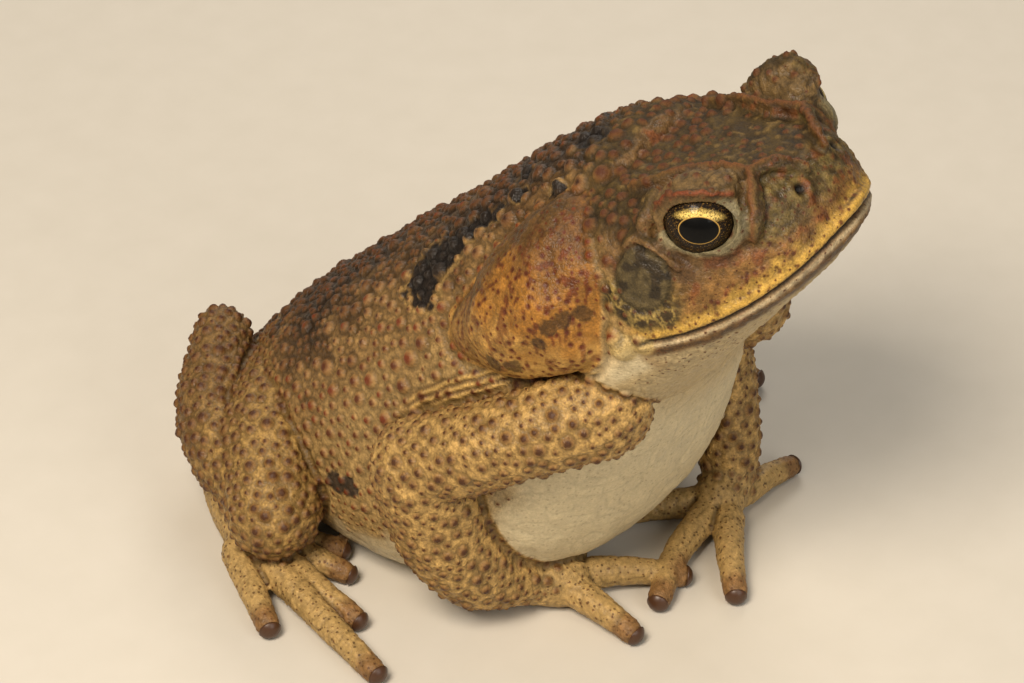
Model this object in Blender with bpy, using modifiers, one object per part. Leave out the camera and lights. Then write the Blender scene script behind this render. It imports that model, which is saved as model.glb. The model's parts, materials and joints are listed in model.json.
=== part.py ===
"""Cane toad (Rhinella marina), a life-size still model sitting with its chest raised.

World frame: metres, +Z up, floor at z = 0, snout towards -Y, the toad's left towards +X.
Sizes below are in millimetres and are turned to metres by at() and on_head().
The skin is modelled whole and then parted where the joints of the real toad are.
"""
import math
import random

import bmesh
import bpy
from mathutils import Matrix, Vector

MM = 0.001
SIDES = {"right": -1, "left": 1}

# Between neighbouring solids
GAP = 0.3
# Moves the posed toad so that the middle of its box is over the origin
SHIFT_X = 0.0
SHIFT_Y = 4.44

# Whole skin: cell of the fused mesh, rounds of smoothing before and after the warts, triangles kept
CELL = 0.7
SMOOTHING = 4
WART_SMOOTHING = 2
SKIN_TRIANGLES = 11300
# Shares of its triangles that a parted piece may keep, fewest first
KEPT = (0.6, 0.65, 0.75, 1)

# Head frame: origin at the front of the lips, then the head's left, forward along the mouth, up
LIP_FRONT = (4, -60.6, 79.4)
HEAD_PITCH = 39
HEAD_YAW = 8.4
HEAD_ROLL = 7.5

# Trunk sections: back y, z; belly y, z; half width; share of the depth where it is widest; squareness
TRUNK = [
    (53, 5, 49, 1, 5, 0.5, 0.9),
    (50.5, 11, 44, -2, 14, 0.6, 0.85),
    (45.5, 18, 36, -3, 22, 0.62, 0.8),
    (38, 27, 24, -3, 29, 0.6, 0.75),
    (28, 37, 8, -3, 33, 0.6, 0.72),
    (18, 47, -9, -2.5, 34, 0.58, 0.72),
    (8, 56, -23, 3, 32, 0.55, 0.78),
    (-3, 67, -31.5, 14, 28.5, 0.52, 0.85),
    (-13, 77, -35.5, 30, 24, 0.5, 0.88),
    (-22, 83.5, -39, 46, 21.5, 0.5, 0.9),
    (-30, 85, -40.5, 57, 18, 0.5, 0.9),
]

# Head sections: forward station, then (out, up) of crown, crest, brow, cheek, lip, jaw, throat side, throat
HEAD_SECTIONS = [
    (-46, (0, 26), (11, 25), (20, 20), (23, 8), (23, 2), (21, -8), (12, -14), (0, -16)),
    (-36, (0, 25), (11.5, 24.5), (19.5, 19), (22.5, 9), (23, 2), (21, -6), (12, -11), (0, -13)),
    (-28, (0, 22.8), (12, 23), (19, 19), (22.6, 10), (22.8, 1.8), (20.5, -4.5), (12, -8.5), (0, -10.5)),
    (-21, (0, 20.6), (12, 21.5), (18, 18), (21.6, 10), (21.2, 0.6), (19, -4), (11, -7), (0, -8.5)),
    (-15, (0, 18.0), (11.3, 19.6), (16.5, 17.5), (19, 9), (18.8, 0), (16.8, -3.2), (10, -5.4), (0, -6.4)),
    (-10, (0, 15.8), (9.8, 17.2), (14, 15.5), (17, 8), (16.2, -0.2), (14.0, -2.4), (8.3, -4.2), (0, -5.1)),
    (-5, (0, 13.8), (8.2, 14.6), (11, 12.4), (13.2, 6.8), (12.8, 0), (10.2, -1.5), (6.4, -2.8), (0, -3.4)),
    (-2.4, (0, 12.4), (5.0, 13.0), (8.2, 10.6), (9.8, 5), (9.4, 0.4), (7.0, -0.6), (4.2, -1.4), (0, -1.9)),
    (-0.9, (0, 9.8), (2.6, 10.0), (4.4, 8.4), (5.6, 4.8), (5.2, 1.4), (4.4, 0.2), (2.8, -0.4), (0, -0.6)),
    (0.4, (0, 7.2), (1.4, 7.2), (2.2, 6.6), (2.6, 5.2), (2.2, 3.6), (1.6, 3), (0.8, 2.8), (0, 2.8)),
]

# Eye, in the head frame of the left side: centre, radius, direction it looks, half sizes of the
# opening between the lids and how far out its middle is
EYE = (15.1, -11.7, 14.1)
EYE_R = 5.1
EYE_LOOK = (0.89, 0.43, -0.12)
EYE_OPENING = (5.3, 3.9, 2.6)
EYE_OPENING_OUT = 3.4

# Upper lid, a hump along the eye that the left eye holds higher, and the peak of the left one, in
# the head frame: (out, forward, up, radius)
UPPER_LID = [(13.0, -7.9, 15.8, 3.5), (14.6, -10.8, 16.3, 4.8), (14.8, -14.2, 16.2, 4.2)]
LID_RISE = {"right": -0.2, "left": 0.6}
LID_PEAK = [(14.2, -13.0, 18.9, 3.1), (14.7, -10.4, 19.4, 3.2), (15.2, -8.3, 19.7, 2.6)]
# Bed that holds the eye: middle and half sizes
EYE_BED = ((13.8, -12.0, 11.9), (5.0, 6.8, 5.4))

# Bony crests of the head and the lips, in the head frame: (out, forward, up, radius)
CRESTS = {
    "canthal": [(8.8, -5, 15, 1.1), (6.6, -3.2, 14.4, 1.1), (4.8, -1.9, 12.9, 1.0), (3.2, -0.8, 10.6, 0.8)],
    "supraorbital": [(8.8, -5, 15, 1.1), (8.8, -7.4, 16.3, 1.1), (8.9, -10, 17.5, 1.1),
                     (9.8, -13, 18.8, 1.1), (11.4, -17, 19.8, 1.1), (12.2, -22, 20.8, 0.7)],
    "postorbital": [(14.9, -16.8, 19.5, 1.1), (17.1, -17.4, 18.1, 1.3), (18.2, -19.2, 16.6, 1.4),
                    (19.0, -22, 15.4, 1.3)],
    "pretympanic": [(18.7, -20, 16, 1.2), (19.7, -18, 14.4, 1.2), (19.7, -17, 12.4, 1.1),
                    (19.3, -16.4, 9.8, 0.8)],
}
# Crest before each eye, less proud on the left
PREORBITAL = {
    "right": [(8.8, -5, 15, 1.1), (11.1, -4.5, 13.1, 1.2), (12.7, -4.5, 11.1, 1.3), (13.7, -5.1, 9.3, 1.2),
              (14, -6.6, 7.4, 0.7)],
    "left": [(8.8, -5, 15, 1.1), (10.6, -5.6, 13.4, 1.0), (11.6, -6.3, 11.2, 1.0), (12.2, -7.2, 9.3, 1.0),
             (12.8, -8.2, 7.4, 0.6)],
}
# Edge of the upper lid and, about the eye's frame, the ring of the lower one
LID_EDGE = [(17.6, -15.2, 18.4, 0.7), (18.3, -12.7, 19.5, 0.9), (18.5, -10.3, 19.4, 0.9),
            (17.9, -8.0, 18.6, 0.9), (16.6, -6.4, 17.2, 0.9), (14.4, -5.5, 15.5, 0.7)]
LOWER_LID = (5.8, 4.6, 1.2, 1.0)
LOWER_LID_TURN = (150, 385)
# Lips: out and forward along the mouth, then height over the mouth line and radius of each
LIP_OUT = [(0, 0.2), (2.6, -0.3), (5, -1.5), (7.6, -3.1), (10.4, -5.2), (13, -7.9), (15.4, -11),
           (17.6, -15.2), (19.6, -20.4), (21.2, -26.6)]
UPPER_LIP = (1.3, 1.2)
LOWER_LIP = (-1.3, 0.75)
LOWER_LIP_BACK = 0.9
RICTAL = [(22.2, -31, 2.8, 1.9), (21.8, -28, 1.9, 1.2)]
NOSTRIL = (6.0, -1.0, 9.6)
NOSTRIL_R = 0.75

# Ear drum: place and half sizes. Parotoid gland: (x, y, z, radius) of the balls that it wraps
TYMPANUM = (20.3, -22.2, 10.4)
TYMPANUM_R = 4.4
TYMPANUM_DEPTH = 1.9
TYMPANUM_BULGE = (4.4, 4.4, 1.0)
PAROTOID = [(22.8, -13, 52.6, 4.8), (24, -21.8, 54.2, 5.0), (22.5, -31, 59.6, 5.1), (18.8, -31, 68.5, 5.7),
            (16.6, -25.5, 72.4, 6.2), (20.2, -20.5, 64, 6.8), (21.6, -25.5, 63, 8.4), (22.4, -21.5, 59.5, 8.4)]
# Cell of its mesh, rounds of smoothing, and triangles kept where it is parted
PAROTOID_CELL = 0.9
PAROTOID_SMOOTHING = 18
PAROTOID_TRIANGLES = 500

# Limbs as (x, y, z, radius) along their middles, x outwards from the toad's middle plane
LEGS = {
    "right": {
        "thigh": [(12, 34, 15, 9), (28, 25, 16.5, 8.8), (38.5, 16, 12.6, 7.8)],
        "shank": [(38.5, 16, 12.6, 5.6), (31.5, 34.5, 14.5, 6.4), (18, 46, 20, 5.0)],
        "foot": [(18, 46, 19, 4.2), (27, 38, 11, 4.4), (33, 30, 5.0, 4.8), (38.5, 20, 3.6, 4.6)],
    },
    "left": {
        "thigh": [(12, 34, 14, 9), (27, 24, 15, 8.8), (38.5, 15, 12.6, 7.8)],
        "shank": [(38.5, 15, 12.6, 5.6), (33, 32, 12, 6.4), (20, 42, 11.5, 5.0)],
        "foot": [(20, 42, 10.5, 4.2), (28, 36, 7, 4.4), (34, 29, 4.8, 4.8), (38.5, 20, 3.6, 4.6)],
    },
}
TOES = [
    [(34, 21, 3, 2.6), (32, 15, 2.6, 2.2), (30, 10.5, 1.9, 1.9)],
    [(36, 19, 3.4, 2.7), (35, 11.5, 3, 2.2), (33.4, 6, 1.9, 1.9)],
    [(38, 18, 3.6, 2.9), (40, 6, 3, 2.3), (40.4, -2.3, 1.9, 2.0)],
    [(40, 18, 3.7, 3.0), (44, 3, 3.1, 2.4), (47.5, -12.6, 1.9, 2.0)],
    [(42, 21, 3.4, 2.7), (46.5, 13.5, 2.8, 2.3), (50.2, 6.8, 1.9, 2.0)],
]
ARMS = {
    "right": {
        "upper_arm": [(19.5, -33, 46, 8), (28.5, -24, 41, 6.8), (33, -11, 33, 7.2)],
        "forearm": [(33.5, -10, 32, 7.6), (30.5, -12, 19, 7.8), (25.5, -15, 10, 7.2),
                    (18.5, -19, 5.4, 4.8)],
        "hand": [(18.5, -19, 5.2, 4.6), (14.5, -22.8, 3.8, 4.4)],
        "fingers": [
            [(13, -19.5, 3, 2.5), (10.8, -16.8, 2.5, 2.2), (9, -14.6, 1.9, 1.9)],
            [(11.5, -21.5, 3.2, 2.6), (8.8, -20, 2.8, 2.2), (6.4, -18.6, 1.9, 1.9)],
            [(11, -24, 3.6, 2.8), (5.2, -29, 3.1, 2.3), (0.4, -34.4, 1.9, 2.0)],
            [(15, -26, 3.4, 2.8), (15.4, -31.5, 3, 2.3), (15.6, -36.8, 1.9, 2.0)],
        ],
    },
    "left": {
        "upper_arm": [(19, -30, 43, 8), (24, -22, 38.5, 6.6), (26, -17.5, 33.5, 6.2)],
        "forearm": [(26, -18, 33, 6.2), (24.5, -22, 21, 6.2), (22.5, -26, 11, 5.4), (20.5, -28, 6, 4.4)],
        "hand": [(20.5, -28, 5.2, 4.4), (16.5, -29.2, 3.8, 4.4)],
        "fingers": [
            [(14.5, -26.5, 3.2, 2.7), (9, -21, 2.6, 2.3), (4.2, -17.8, 1.9, 1.9)],
            [(13, -29.6, 3.4, 2.8), (2.5, -31.6, 3, 2.3), (-6.6, -35.4, 1.9, 2.0)],
            [(14, -33, 3.4, 2.8), (7.6, -38.2, 3, 2.3), (2.2, -43.4, 1.9, 2.0)],
            [(21, -30.4, 3.2, 2.7), (27, -30.8, 2.7, 2.2), (32.4, -31.5, 1.9, 1.9)],
        ],
    },
}

# Warts: seed, and for each kind their number, spacing and least and greatest half width and height
WART_SEED = 11
WARTS = {
    "back": (230, 4.6, 1.0, 2.0, 0.7, 1.3),
    "limb": (90, 4.2, 0.9, 1.3, 0.7, 0.9),
}
# No warts: this close to the floor, this far forward on the head, this near a parotoid's edge
WART_FLOOR = 7
WART_HEAD = -27
WART_CLEAR = 2.0
# How steeply the skin may lean over above a wart, and how many places are tried
WART_SLOPE = -0.1
WART_TRIES = 9000

# How far a limb's or a gland's parting face stands off its own skin
SLEEVE = 1.2
PAROTOID_SLEEVE = 0.2

# Neck face, in the head frame: forward and up of a point on it, and its lean back for each step down
NECK = (-27.0, 12.0)
NECK_LEAN = 0.17
# Mouth line, in the head frame: up and forward of its lowest point, its curve up from there, its ends
MOUTH_LOW = (-0.5, -12.0)
MOUTH_CURVE = 0.011
MOUTH_ENDS = (9, -28.8)
# Farther out than any of the toad's skin, for tools that cut right through
BEYOND = 70

COLOURS = {
    "torso": (0.36, 0.25, 0.10, 0.60),
    "head": (0.22, 0.15, 0.06, 0.50),
    "lower_jaw": (0.60, 0.50, 0.30, 0.60),
    "eye": (0.02, 0.015, 0.01, 0.10),
    "tympanum": (0.12, 0.10, 0.05, 0.50),
    "parotoid": (0.40, 0.18, 0.05, 0.50),
    "limb": (0.40, 0.27, 0.10, 0.60),
    "digit": (0.50, 0.36, 0.15, 0.55),
}


def head_matrix():
    """Turns head coordinates, in metres, to world ones."""
    pitch = math.radians(HEAD_PITCH)
    left = Vector((1, 0, 0))
    forward = Vector((0, -math.cos(pitch), math.sin(pitch)))
    up = Vector((0, math.sin(pitch), math.cos(pitch)))
    yaw = Matrix.Rotation(math.radians(HEAD_YAW), 3, up)
    roll = Matrix.Rotation(math.radians(HEAD_ROLL), 3, forward)
    axes = Matrix([yaw @ roll @ v for v in (left, forward, up)]).transposed().to_4x4()
    return Matrix.Translation(at(*LIP_FRONT)) @ axes


def at(x, y, z):
    """World place of a point given in millimetres in the posed toad's frame."""
    return Vector((x + SHIFT_X, y + SHIFT_Y, z)) * MM


def on_head(out, forward, up):
    """World place of a point given in millimetres in the head frame."""
    return head_matrix() @ (Vector((out, forward, up)) * MM)


def link(obj):
    bpy.context.scene.collection.objects.link(obj)
    return obj


def mesh_object(name, bm):
    """Object from a bmesh, faces pointing out."""
    bmesh.ops.recalc_face_normals(bm, faces=bm.faces)
    if bm.calc_volume(signed=True) < 0:
        bmesh.ops.reverse_faces(bm, faces=bm.faces)
    mesh = bpy.data.meshes.new(name)
    bm.to_mesh(mesh)
    bm.free()
    return link(bpy.data.objects.new(name, mesh))


def baked(obj):
    """Replaces an object by its evaluated mesh, in world space."""
    graph = bpy.context.evaluated_depsgraph_get()
    mesh = bpy.data.meshes.new_from_object(obj.evaluated_get(graph))
    mesh.transform(obj.matrix_world)
    name = obj.name
    bpy.data.objects.remove(obj)
    return link(bpy.data.objects.new(name, mesh))


def loft(name, rings):
    """Closed body through rings of equally many points, rounded by subdivision."""
    bm = bmesh.new()
    rows = [[bm.verts.new(p) for p in ring] for ring in rings]
    for low, high in zip(rows, rows[1:]):
        for i in range(len(low)):
            j = (i + 1) % len(low)
            bm.faces.new((low[i], low[j], high[j], high[i]))
    bm.faces.new(rows[0])
    bm.faces.new(reversed(rows[-1]))
    obj = mesh_object(name, bm)
    smooth = obj.modifiers.new("round", "SUBSURF")
    smooth.levels = smooth.render_levels = 2
    return obj


def through(points, steps):
    """Smooth path through the points, whatever their number of coordinates."""
    padded = [points[0], *points, points[-1]]
    path = []
    for a, b, c, d in zip(padded, padded[1:], padded[2:], padded[3:]):
        for k in range(steps):
            t = k / steps
            place = []
            for p, q, r, s in zip(a, b, c, d):
                bend = (2 * p - 5 * q + 4 * r - s) + t * (3 * q - p - 3 * r + s)
                place.append(0.5 * (2 * q + t * ((r - p) + t * bend)))
            path.append(tuple(place))
    path.append(tuple(points[-1]))
    return path


def round_ends(path):
    """Adds the stations that close a tube with half balls."""
    def cap(tip, inner):
        out = (Vector(tip[:3]) - Vector(inner[:3])).normalized()
        dome = []
        for angle in (30, 60, 82):
            a = math.radians(angle)
            place = Vector(tip[:3]) + out * tip[3] * math.sin(a)
            dome.append((*place, tip[3] * math.cos(a)))
        return dome
    return cap(path[0], path[1])[::-1] + path + cap(path[-1], path[-2])


def tube(name, stations, side=1, grow=0.0, sides=2, steps=4, place=at):
    """Round-ended tube through (x, y, z, radius) stations, as one closed mesh."""
    path = round_ends([(x, y, z, r + grow) for x, y, z, r in through(stations, steps)])
    curve = bpy.data.curves.new(name, "CURVE")
    curve.dimensions = "3D"
    curve.bevel_depth = 1.0
    curve.bevel_resolution = sides
    curve.use_fill_caps = True
    line = curve.splines.new("POLY")
    line.points.add(len(path) - 1)
    for point, (x, y, z, r) in zip(line.points, path):
        point.co = (*place(side * x, y, z), 1)
        point.radius = r * MM
    obj = baked(link(bpy.data.objects.new(name, curve)))
    bm = bmesh.new()
    bm.from_mesh(obj.data)
    bmesh.ops.remove_doubles(bm, verts=bm.verts, dist=1e-6)
    bmesh.ops.recalc_face_normals(bm, faces=bm.faces)
    bm.to_mesh(obj.data)
    bm.free()
    return obj


def ball(name, frame, half, segments=24):
    """Ellipsoid with the given half sizes, in millimetres, in a frame."""
    bm = bmesh.new()
    bmesh.ops.create_uvsphere(bm, u_segments=segments, v_segments=segments // 2 + 2, radius=1.0)
    bm.transform(frame @ Matrix.Diagonal((*[h * MM for h in half], 1)))
    return mesh_object(name, bm)


def facing(place, direction, upward):
    """Frame at a place with z along a direction and y near an upward one."""
    z = direction.normalized()
    x = upward.cross(z).normalized()
    y = z.cross(x)
    return Matrix.Translation(place) @ Matrix((x, y, z)).transposed().to_4x4()


def trunk():
    """Pear-shaped body resting on its belly."""
    rings = []
    for back_y, back_z, belly_y, belly_z, half, widest, square in TRUNK:
        back, belly = at(0, back_y, back_z), at(0, belly_y, belly_z)
        ring = []
        for k in range(16):
            turn = 2 * math.pi * k / 16
            down, out = -math.cos(turn), math.sin(turn)
            reach = math.copysign(abs(out) ** square, out)
            if down <= 0:
                share = widest * (1 - abs(down) ** 0.9)
            else:
                share = widest + (1 - widest) * down ** square
            ring.append(back.lerp(belly, share) + Vector((half * reach * MM, 0, 0)))
        rings.append(ring)
    return baked(loft("trunk", rings))


def skull():
    """Head from the neck to the snout, lips and jaw included."""
    rings = []
    for forward, *half in HEAD_SECTIONS:
        ring = [on_head(out, forward, up) for out, up in half]
        ring += [on_head(-out, forward, up) for out, up in reversed(half[1:-1])]
        rings.append(ring)
    return baked(loft("skull", rings))


def eye_frame(side):
    """Frame at the eye's middle, z where it looks, y up in the lid's opening."""
    k = SIDES[side]
    turn = head_matrix().to_3x3()
    look = turn @ Vector((k * EYE_LOOK[0], EYE_LOOK[1], EYE_LOOK[2]))
    return facing(on_head(k * EYE[0], EYE[1], EYE[2]), look, Vector((0, 0, 1)))


def tympanum_frame(side):
    """Frame on the ear drum's face, z outwards."""
    k = SIDES[side]
    turn = head_matrix().to_3x3()
    return facing(on_head(k * TYMPANUM[0], *TYMPANUM[1:]), turn @ Vector((k, 0.12, 0.1)), Vector((0, 0, 1)))


def parotoid(side, grow=0.0):
    """Swollen gland behind an ear drum, wrapped tightly round its balls."""
    balls = bmesh.new()
    for x, y, z, r in PAROTOID:
        frame = Matrix.Translation(at(SIDES[side] * x, y, z))
        bmesh.ops.create_icosphere(balls, subdivisions=2, radius=(r + grow) * MM, matrix=frame)
    bm = bmesh.new()
    for vert in balls.verts:
        bm.verts.new(vert.co)
    balls.free()
    found = bmesh.ops.convex_hull(bm, input=bm.verts)
    inside = [item for item in found["geom_interior"] if isinstance(item, bmesh.types.BMVert)]
    bmesh.ops.delete(bm, geom=inside, context="VERTS")
    return fused("parotoid", [mesh_object("wrap", bm)], PAROTOID_CELL, PAROTOID_SMOOTHING)


def limb_stations(side):
    """Every limb piece of a side: name, stations."""
    arm = ARMS[side]
    pieces = {f"{part}_{side}": arm[part] for part in ("upper_arm", "forearm", "hand")}
    pieces.update({f"{part}_{side}": LEGS[side][part] for part in ("thigh", "shank", "foot")})
    pieces.update({f"finger_{side}_{i}": line for i, line in enumerate(arm["fingers"], 1)})
    pieces.update({f"toe_{side}_{i}": line for i, line in enumerate(TOES, 1)})
    return pieces


def mouth_height(forward):
    """Up of the mouth line at a forward place."""
    return MOUTH_LOW[0] + MOUTH_CURVE * (forward - MOUTH_LOW[1]) ** 2


def lip(side, above, radius, back=0.0):
    """Rolled edge of the mouth on one side."""
    stations = []
    for out, forward in LIP_OUT:
        stations.append((out * (1 - back / 20), forward - back, mouth_height(forward) + above, radius))
    return tube("lip", stations, SIDES[side], place=on_head)


def lower_lid(side):
    """Roll of skin that runs under the eye from its rear corner to its front one."""
    frame = eye_frame(side)
    wide, high, out, radius = LOWER_LID
    first, last = LOWER_LID_TURN
    stations = []
    for angle in range(first, last, 20):
        a = math.radians(angle)
        swell = 0.5 + 0.5 * math.sin(math.pi * (angle - first) / (last - first))
        stations.append((wide * math.cos(a), high * math.sin(a), out, radius * swell))
    return tube("lower lid", stations, place=lambda x, y, z: frame @ (Vector((x, y, z)) * MM))


def head_forms(side):
    """Lids, crests, lips and glands that stand up from one side of the skull."""
    k = SIDES[side]
    pieces = [tube("crest", line, k, place=on_head) for line in (*CRESTS.values(), PREORBITAL[side])]
    (out, forward, up), half = EYE_BED
    bed = head_matrix() @ Matrix.Translation(Vector((k * out, forward, up)) * MM)
    pieces.append(ball("eye bed", bed, half))
    rise = LID_RISE[side]
    for line in (UPPER_LID, LID_EDGE):
        raised = [(out, forward, up + rise, radius) for out, forward, up, radius in line]
        pieces.append(tube("lid", raised, k, place=on_head))
    if side == "left":
        pieces.append(tube("lid peak", LID_PEAK, k, place=on_head))
    for out, forward, up, radius in RICTAL:
        middle = Matrix.Translation(on_head(k * out, forward, up))
        pieces.append(ball("gland by the mouth", middle, (radius,) * 3, segments=16))
    pieces.append(lower_lid(side))
    pieces.append(ball("ear drum", tympanum_frame(side), TYMPANUM_BULGE))
    pieces.append(lip(side, *UPPER_LIP))
    pieces.append(lip(side, *LOWER_LIP, LOWER_LIP_BACK))
    return pieces


def forms():
    """All the forms of the toad but its warts, before they are fused."""
    pieces = [trunk(), skull()]
    for side, k in SIDES.items():
        for name, stations in limb_stations(side).items():
            pieces.append(tube(name, stations, k, sides=4))
        pieces.append(parotoid(side))
        pieces += head_forms(side)
    return pieces


def joined(name, pieces):
    """One object with the faces of all the pieces, which are removed."""
    bm = bmesh.new()
    for obj in pieces:
        bm.from_mesh(obj.data)
        bpy.data.objects.remove(obj)
    mesh = bpy.data.meshes.new(name)
    bm.to_mesh(mesh)
    bm.free()
    return link(bpy.data.objects.new(name, mesh))


def fused(name, pieces, cell, rounds):
    """Pieces melted into one closed skin."""
    obj = joined(name, pieces)
    melt = obj.modifiers.new("melt", "REMESH")
    melt.mode = "VOXEL"
    melt.voxel_size = cell * MM
    soften = obj.modifiers.new("soften", "SMOOTH")
    soften.factor = 0.5
    soften.iterations = rounds
    return baked(obj)


def limb_joints():
    """Places and radii along every limb piece, with the kind of wart that grows there."""
    joints = []
    for side, k in SIDES.items():
        for name, stations in limb_stations(side).items():
            kind = "limb" if name.startswith(("upper_arm", "forearm", "thigh", "shank")) else None
            joints += [(at(k * x, y, z), (r + SLEEVE) * MM, kind) for x, y, z, r in through(stations, 4)]
    return joints


def growth(place, normal, joints):
    """Kind of wart that grows at a place of the skin, if any."""
    if place.z < WART_FLOOR * MM or normal.z < WART_SLOPE:
        return None
    if (head_matrix().inverted() @ place).y > WART_HEAD * MM:
        return None
    for k in SIDES.values():
        for x, y, z, r in PAROTOID:
            if (place - at(k * x, y, z)).length < (r + WART_CLEAR) * MM:
                return None
    for joint, reach, kind in joints:
        if (place - joint).length < reach:
            return kind
    return "back"


def warts(skin):
    """Warts on the skin, each an ellipsoid sunk to its middle."""
    chance = random.Random(WART_SEED)
    faces = skin.data.polygons
    joints = limb_joints()
    left = {kind: number for kind, (number, *_) in WARTS.items()}
    grown = []
    pieces = []
    for face in chance.choices(faces, weights=[f.area for f in faces], k=WART_TRIES):
        kind = growth(face.center, face.normal, joints)
        if kind is None or not left[kind]:
            continue
        _, spacing, least, most, low, high = WARTS[kind]
        if any((face.center - other).length < spacing * MM for other in grown):
            continue
        share = chance.random() ** 2
        half = least + (most - least) * share
        frame = Matrix.Translation(face.center) @ face.normal.to_track_quat("Z", "Y").to_matrix().to_4x4()
        pieces.append(ball("wart", frame, (half, half, low + (high - low) * share), segments=8))
        grown.append(face.center.copy())
        left[kind] -= 1
    return pieces


def thinned(obj, triangles):
    """Fewer triangles, kept where the form bends."""
    split = obj.modifiers.new("split", "TRIANGULATE")
    split.quad_method = "BEAUTY"
    obj = baked(obj)
    reduce = obj.modifiers.new("reduce", "DECIMATE")
    reduce.ratio = triangles / len(obj.data.polygons)
    return baked(obj)


def cut(obj, tool, operation):
    """Boolean of two closed meshes, applied."""
    step = obj.modifiers.new("cut", "BOOLEAN")
    step.operation = operation
    step.object = tool
    step.solver = "MANIFOLD"
    return baked(obj)


def loose_parts(obj):
    """Splits an object into its closed bodies, largest first."""
    bm = bmesh.new()
    bm.from_mesh(obj.data)
    left = set(bm.faces)
    groups = []
    while left:
        stack = [left.pop()]
        group = set()
        while stack:
            face = stack.pop()
            group.add(face.index)
            near = {other for edge in face.edges for other in edge.link_faces} & left
            left -= near
            stack.extend(near)
        groups.append(group)
    groups.sort(key=len, reverse=True)
    parts = []
    for group in groups:
        own = bm.copy()
        bmesh.ops.delete(own, geom=[f for f in own.faces if f.index not in group], context="FACES")
        mesh = bpy.data.meshes.new(obj.name)
        own.to_mesh(mesh)
        own.free()
        parts.append(link(bpy.data.objects.new(obj.name, mesh)))
    bm.free()
    bpy.data.objects.remove(obj)
    return parts


def largest(obj):
    """Keeps only an object's largest closed body."""
    name = obj.name
    keep, *scraps = loose_parts(obj)
    for scrap in scraps:
        bpy.data.objects.remove(scrap)
    keep.name = name
    return keep


def twin(obj, name):
    return link(bpy.data.objects.new(name, obj.data.copy()))


def carved(rest, name, inner, outer):
    """Takes what lies in the inner tool out of the rest, which keeps what is past the outer one."""
    piece = largest(cut(twin(rest, name), inner, "INTERSECT"))
    piece.name = name
    rest = cut(rest, outer, "DIFFERENCE")
    bpy.data.objects.remove(inner)
    bpy.data.objects.remove(outer)
    return rest, piece


def sleeve(name, stations, side):
    """Inner and outer parting tools that follow a limb piece."""
    k = SIDES[side]
    inner = tube("tool", stations, k, grow=SLEEVE, sides=2, steps=2)
    outer = tube("tool", stations, k, grow=SLEEVE + GAP, sides=2, steps=2)
    return inner, outer


def plug(frame, radius, depth, height=6, segments=20):
    """Round plug from a depth below the frame's origin to a height above it, along its z."""
    bm = bmesh.new()
    bmesh.ops.create_cone(bm, cap_ends=True, segments=segments, radius1=radius * MM, radius2=radius * MM,
                          depth=(depth + height) * MM)
    bm.transform(frame @ Matrix.Translation((0, 0, (height - depth) / 2 * MM)))
    return mesh_object("tool", bm)


def slab(frame, thick):
    """Wide box about the frame's origin, its thickness along z."""
    bm = bmesh.new()
    bmesh.ops.create_cube(bm, size=2.0)
    bm.transform(frame @ Matrix.Diagonal((BEYOND * MM, BEYOND * MM, thick / 2 * MM, 1)))
    return mesh_object("tool", bm)


def neck_frame():
    """z forward along the head."""
    turn = head_matrix().to_3x3()
    return facing(on_head(0, *NECK), turn @ Vector((0, 1, -NECK_LEAN)), turn @ Vector((0, NECK_LEAN, 1)))


def mouth_tool():
    """Curved sheet between the lips, from before the snout back to the neck face."""
    rings = []
    steps = 12
    for step in range(steps + 1):
        forward = MOUTH_ENDS[0] + (MOUTH_ENDS[1] - MOUTH_ENDS[0]) * step / steps
        up = mouth_height(forward)
        rings.append([(out * BEYOND, forward, up + lift * GAP / 2)
                      for out, lift in ((-1, -1), (1, -1), (1, 1), (-1, 1))])
    bm = bmesh.new()
    rows = [[bm.verts.new(on_head(*p)) for p in ring] for ring in rings]
    for low, high in zip(rows, rows[1:]):
        for i in range(4):
            j = (i + 1) % 4
            bm.faces.new((low[i], low[j], high[j], high[i]))
    bm.faces.new(rows[0])
    bm.faces.new(reversed(rows[-1]))
    return mesh_object("tool", bm)


def floor_tool():
    """What lies below the floor."""
    return slab(Matrix.Translation((0, 0, -BEYOND / 2 * MM)), BEYOND)


def eye_parts(rest, side):
    """Eyeball in its socket, and the opening between the lids."""
    frame = eye_frame(side)
    eye = ball(f"eye_{side}", frame, (EYE_R,) * 3, segments=20)
    for tool in (
        ball("tool", frame, (EYE_R + GAP,) * 3, segments=20),
        ball("tool", frame @ Matrix.Translation((0, 0, EYE_OPENING_OUT * MM)), EYE_OPENING, segments=20),
    ):
        rest = cut(rest, tool, "DIFFERENCE")
        bpy.data.objects.remove(tool)
    return rest, eye


def nostril(rest, side):
    """Pit of a nostril."""
    out, forward, up = NOSTRIL
    _, place, _, _ = rest.closest_point_on_mesh(on_head(SIDES[side] * out, forward, up))
    tool = ball("tool", Matrix.Translation(place), (NOSTRIL_R,) * 3, segments=8)
    rest = cut(rest, tool, "DIFFERENCE")
    bpy.data.objects.remove(tool)
    return rest


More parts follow.
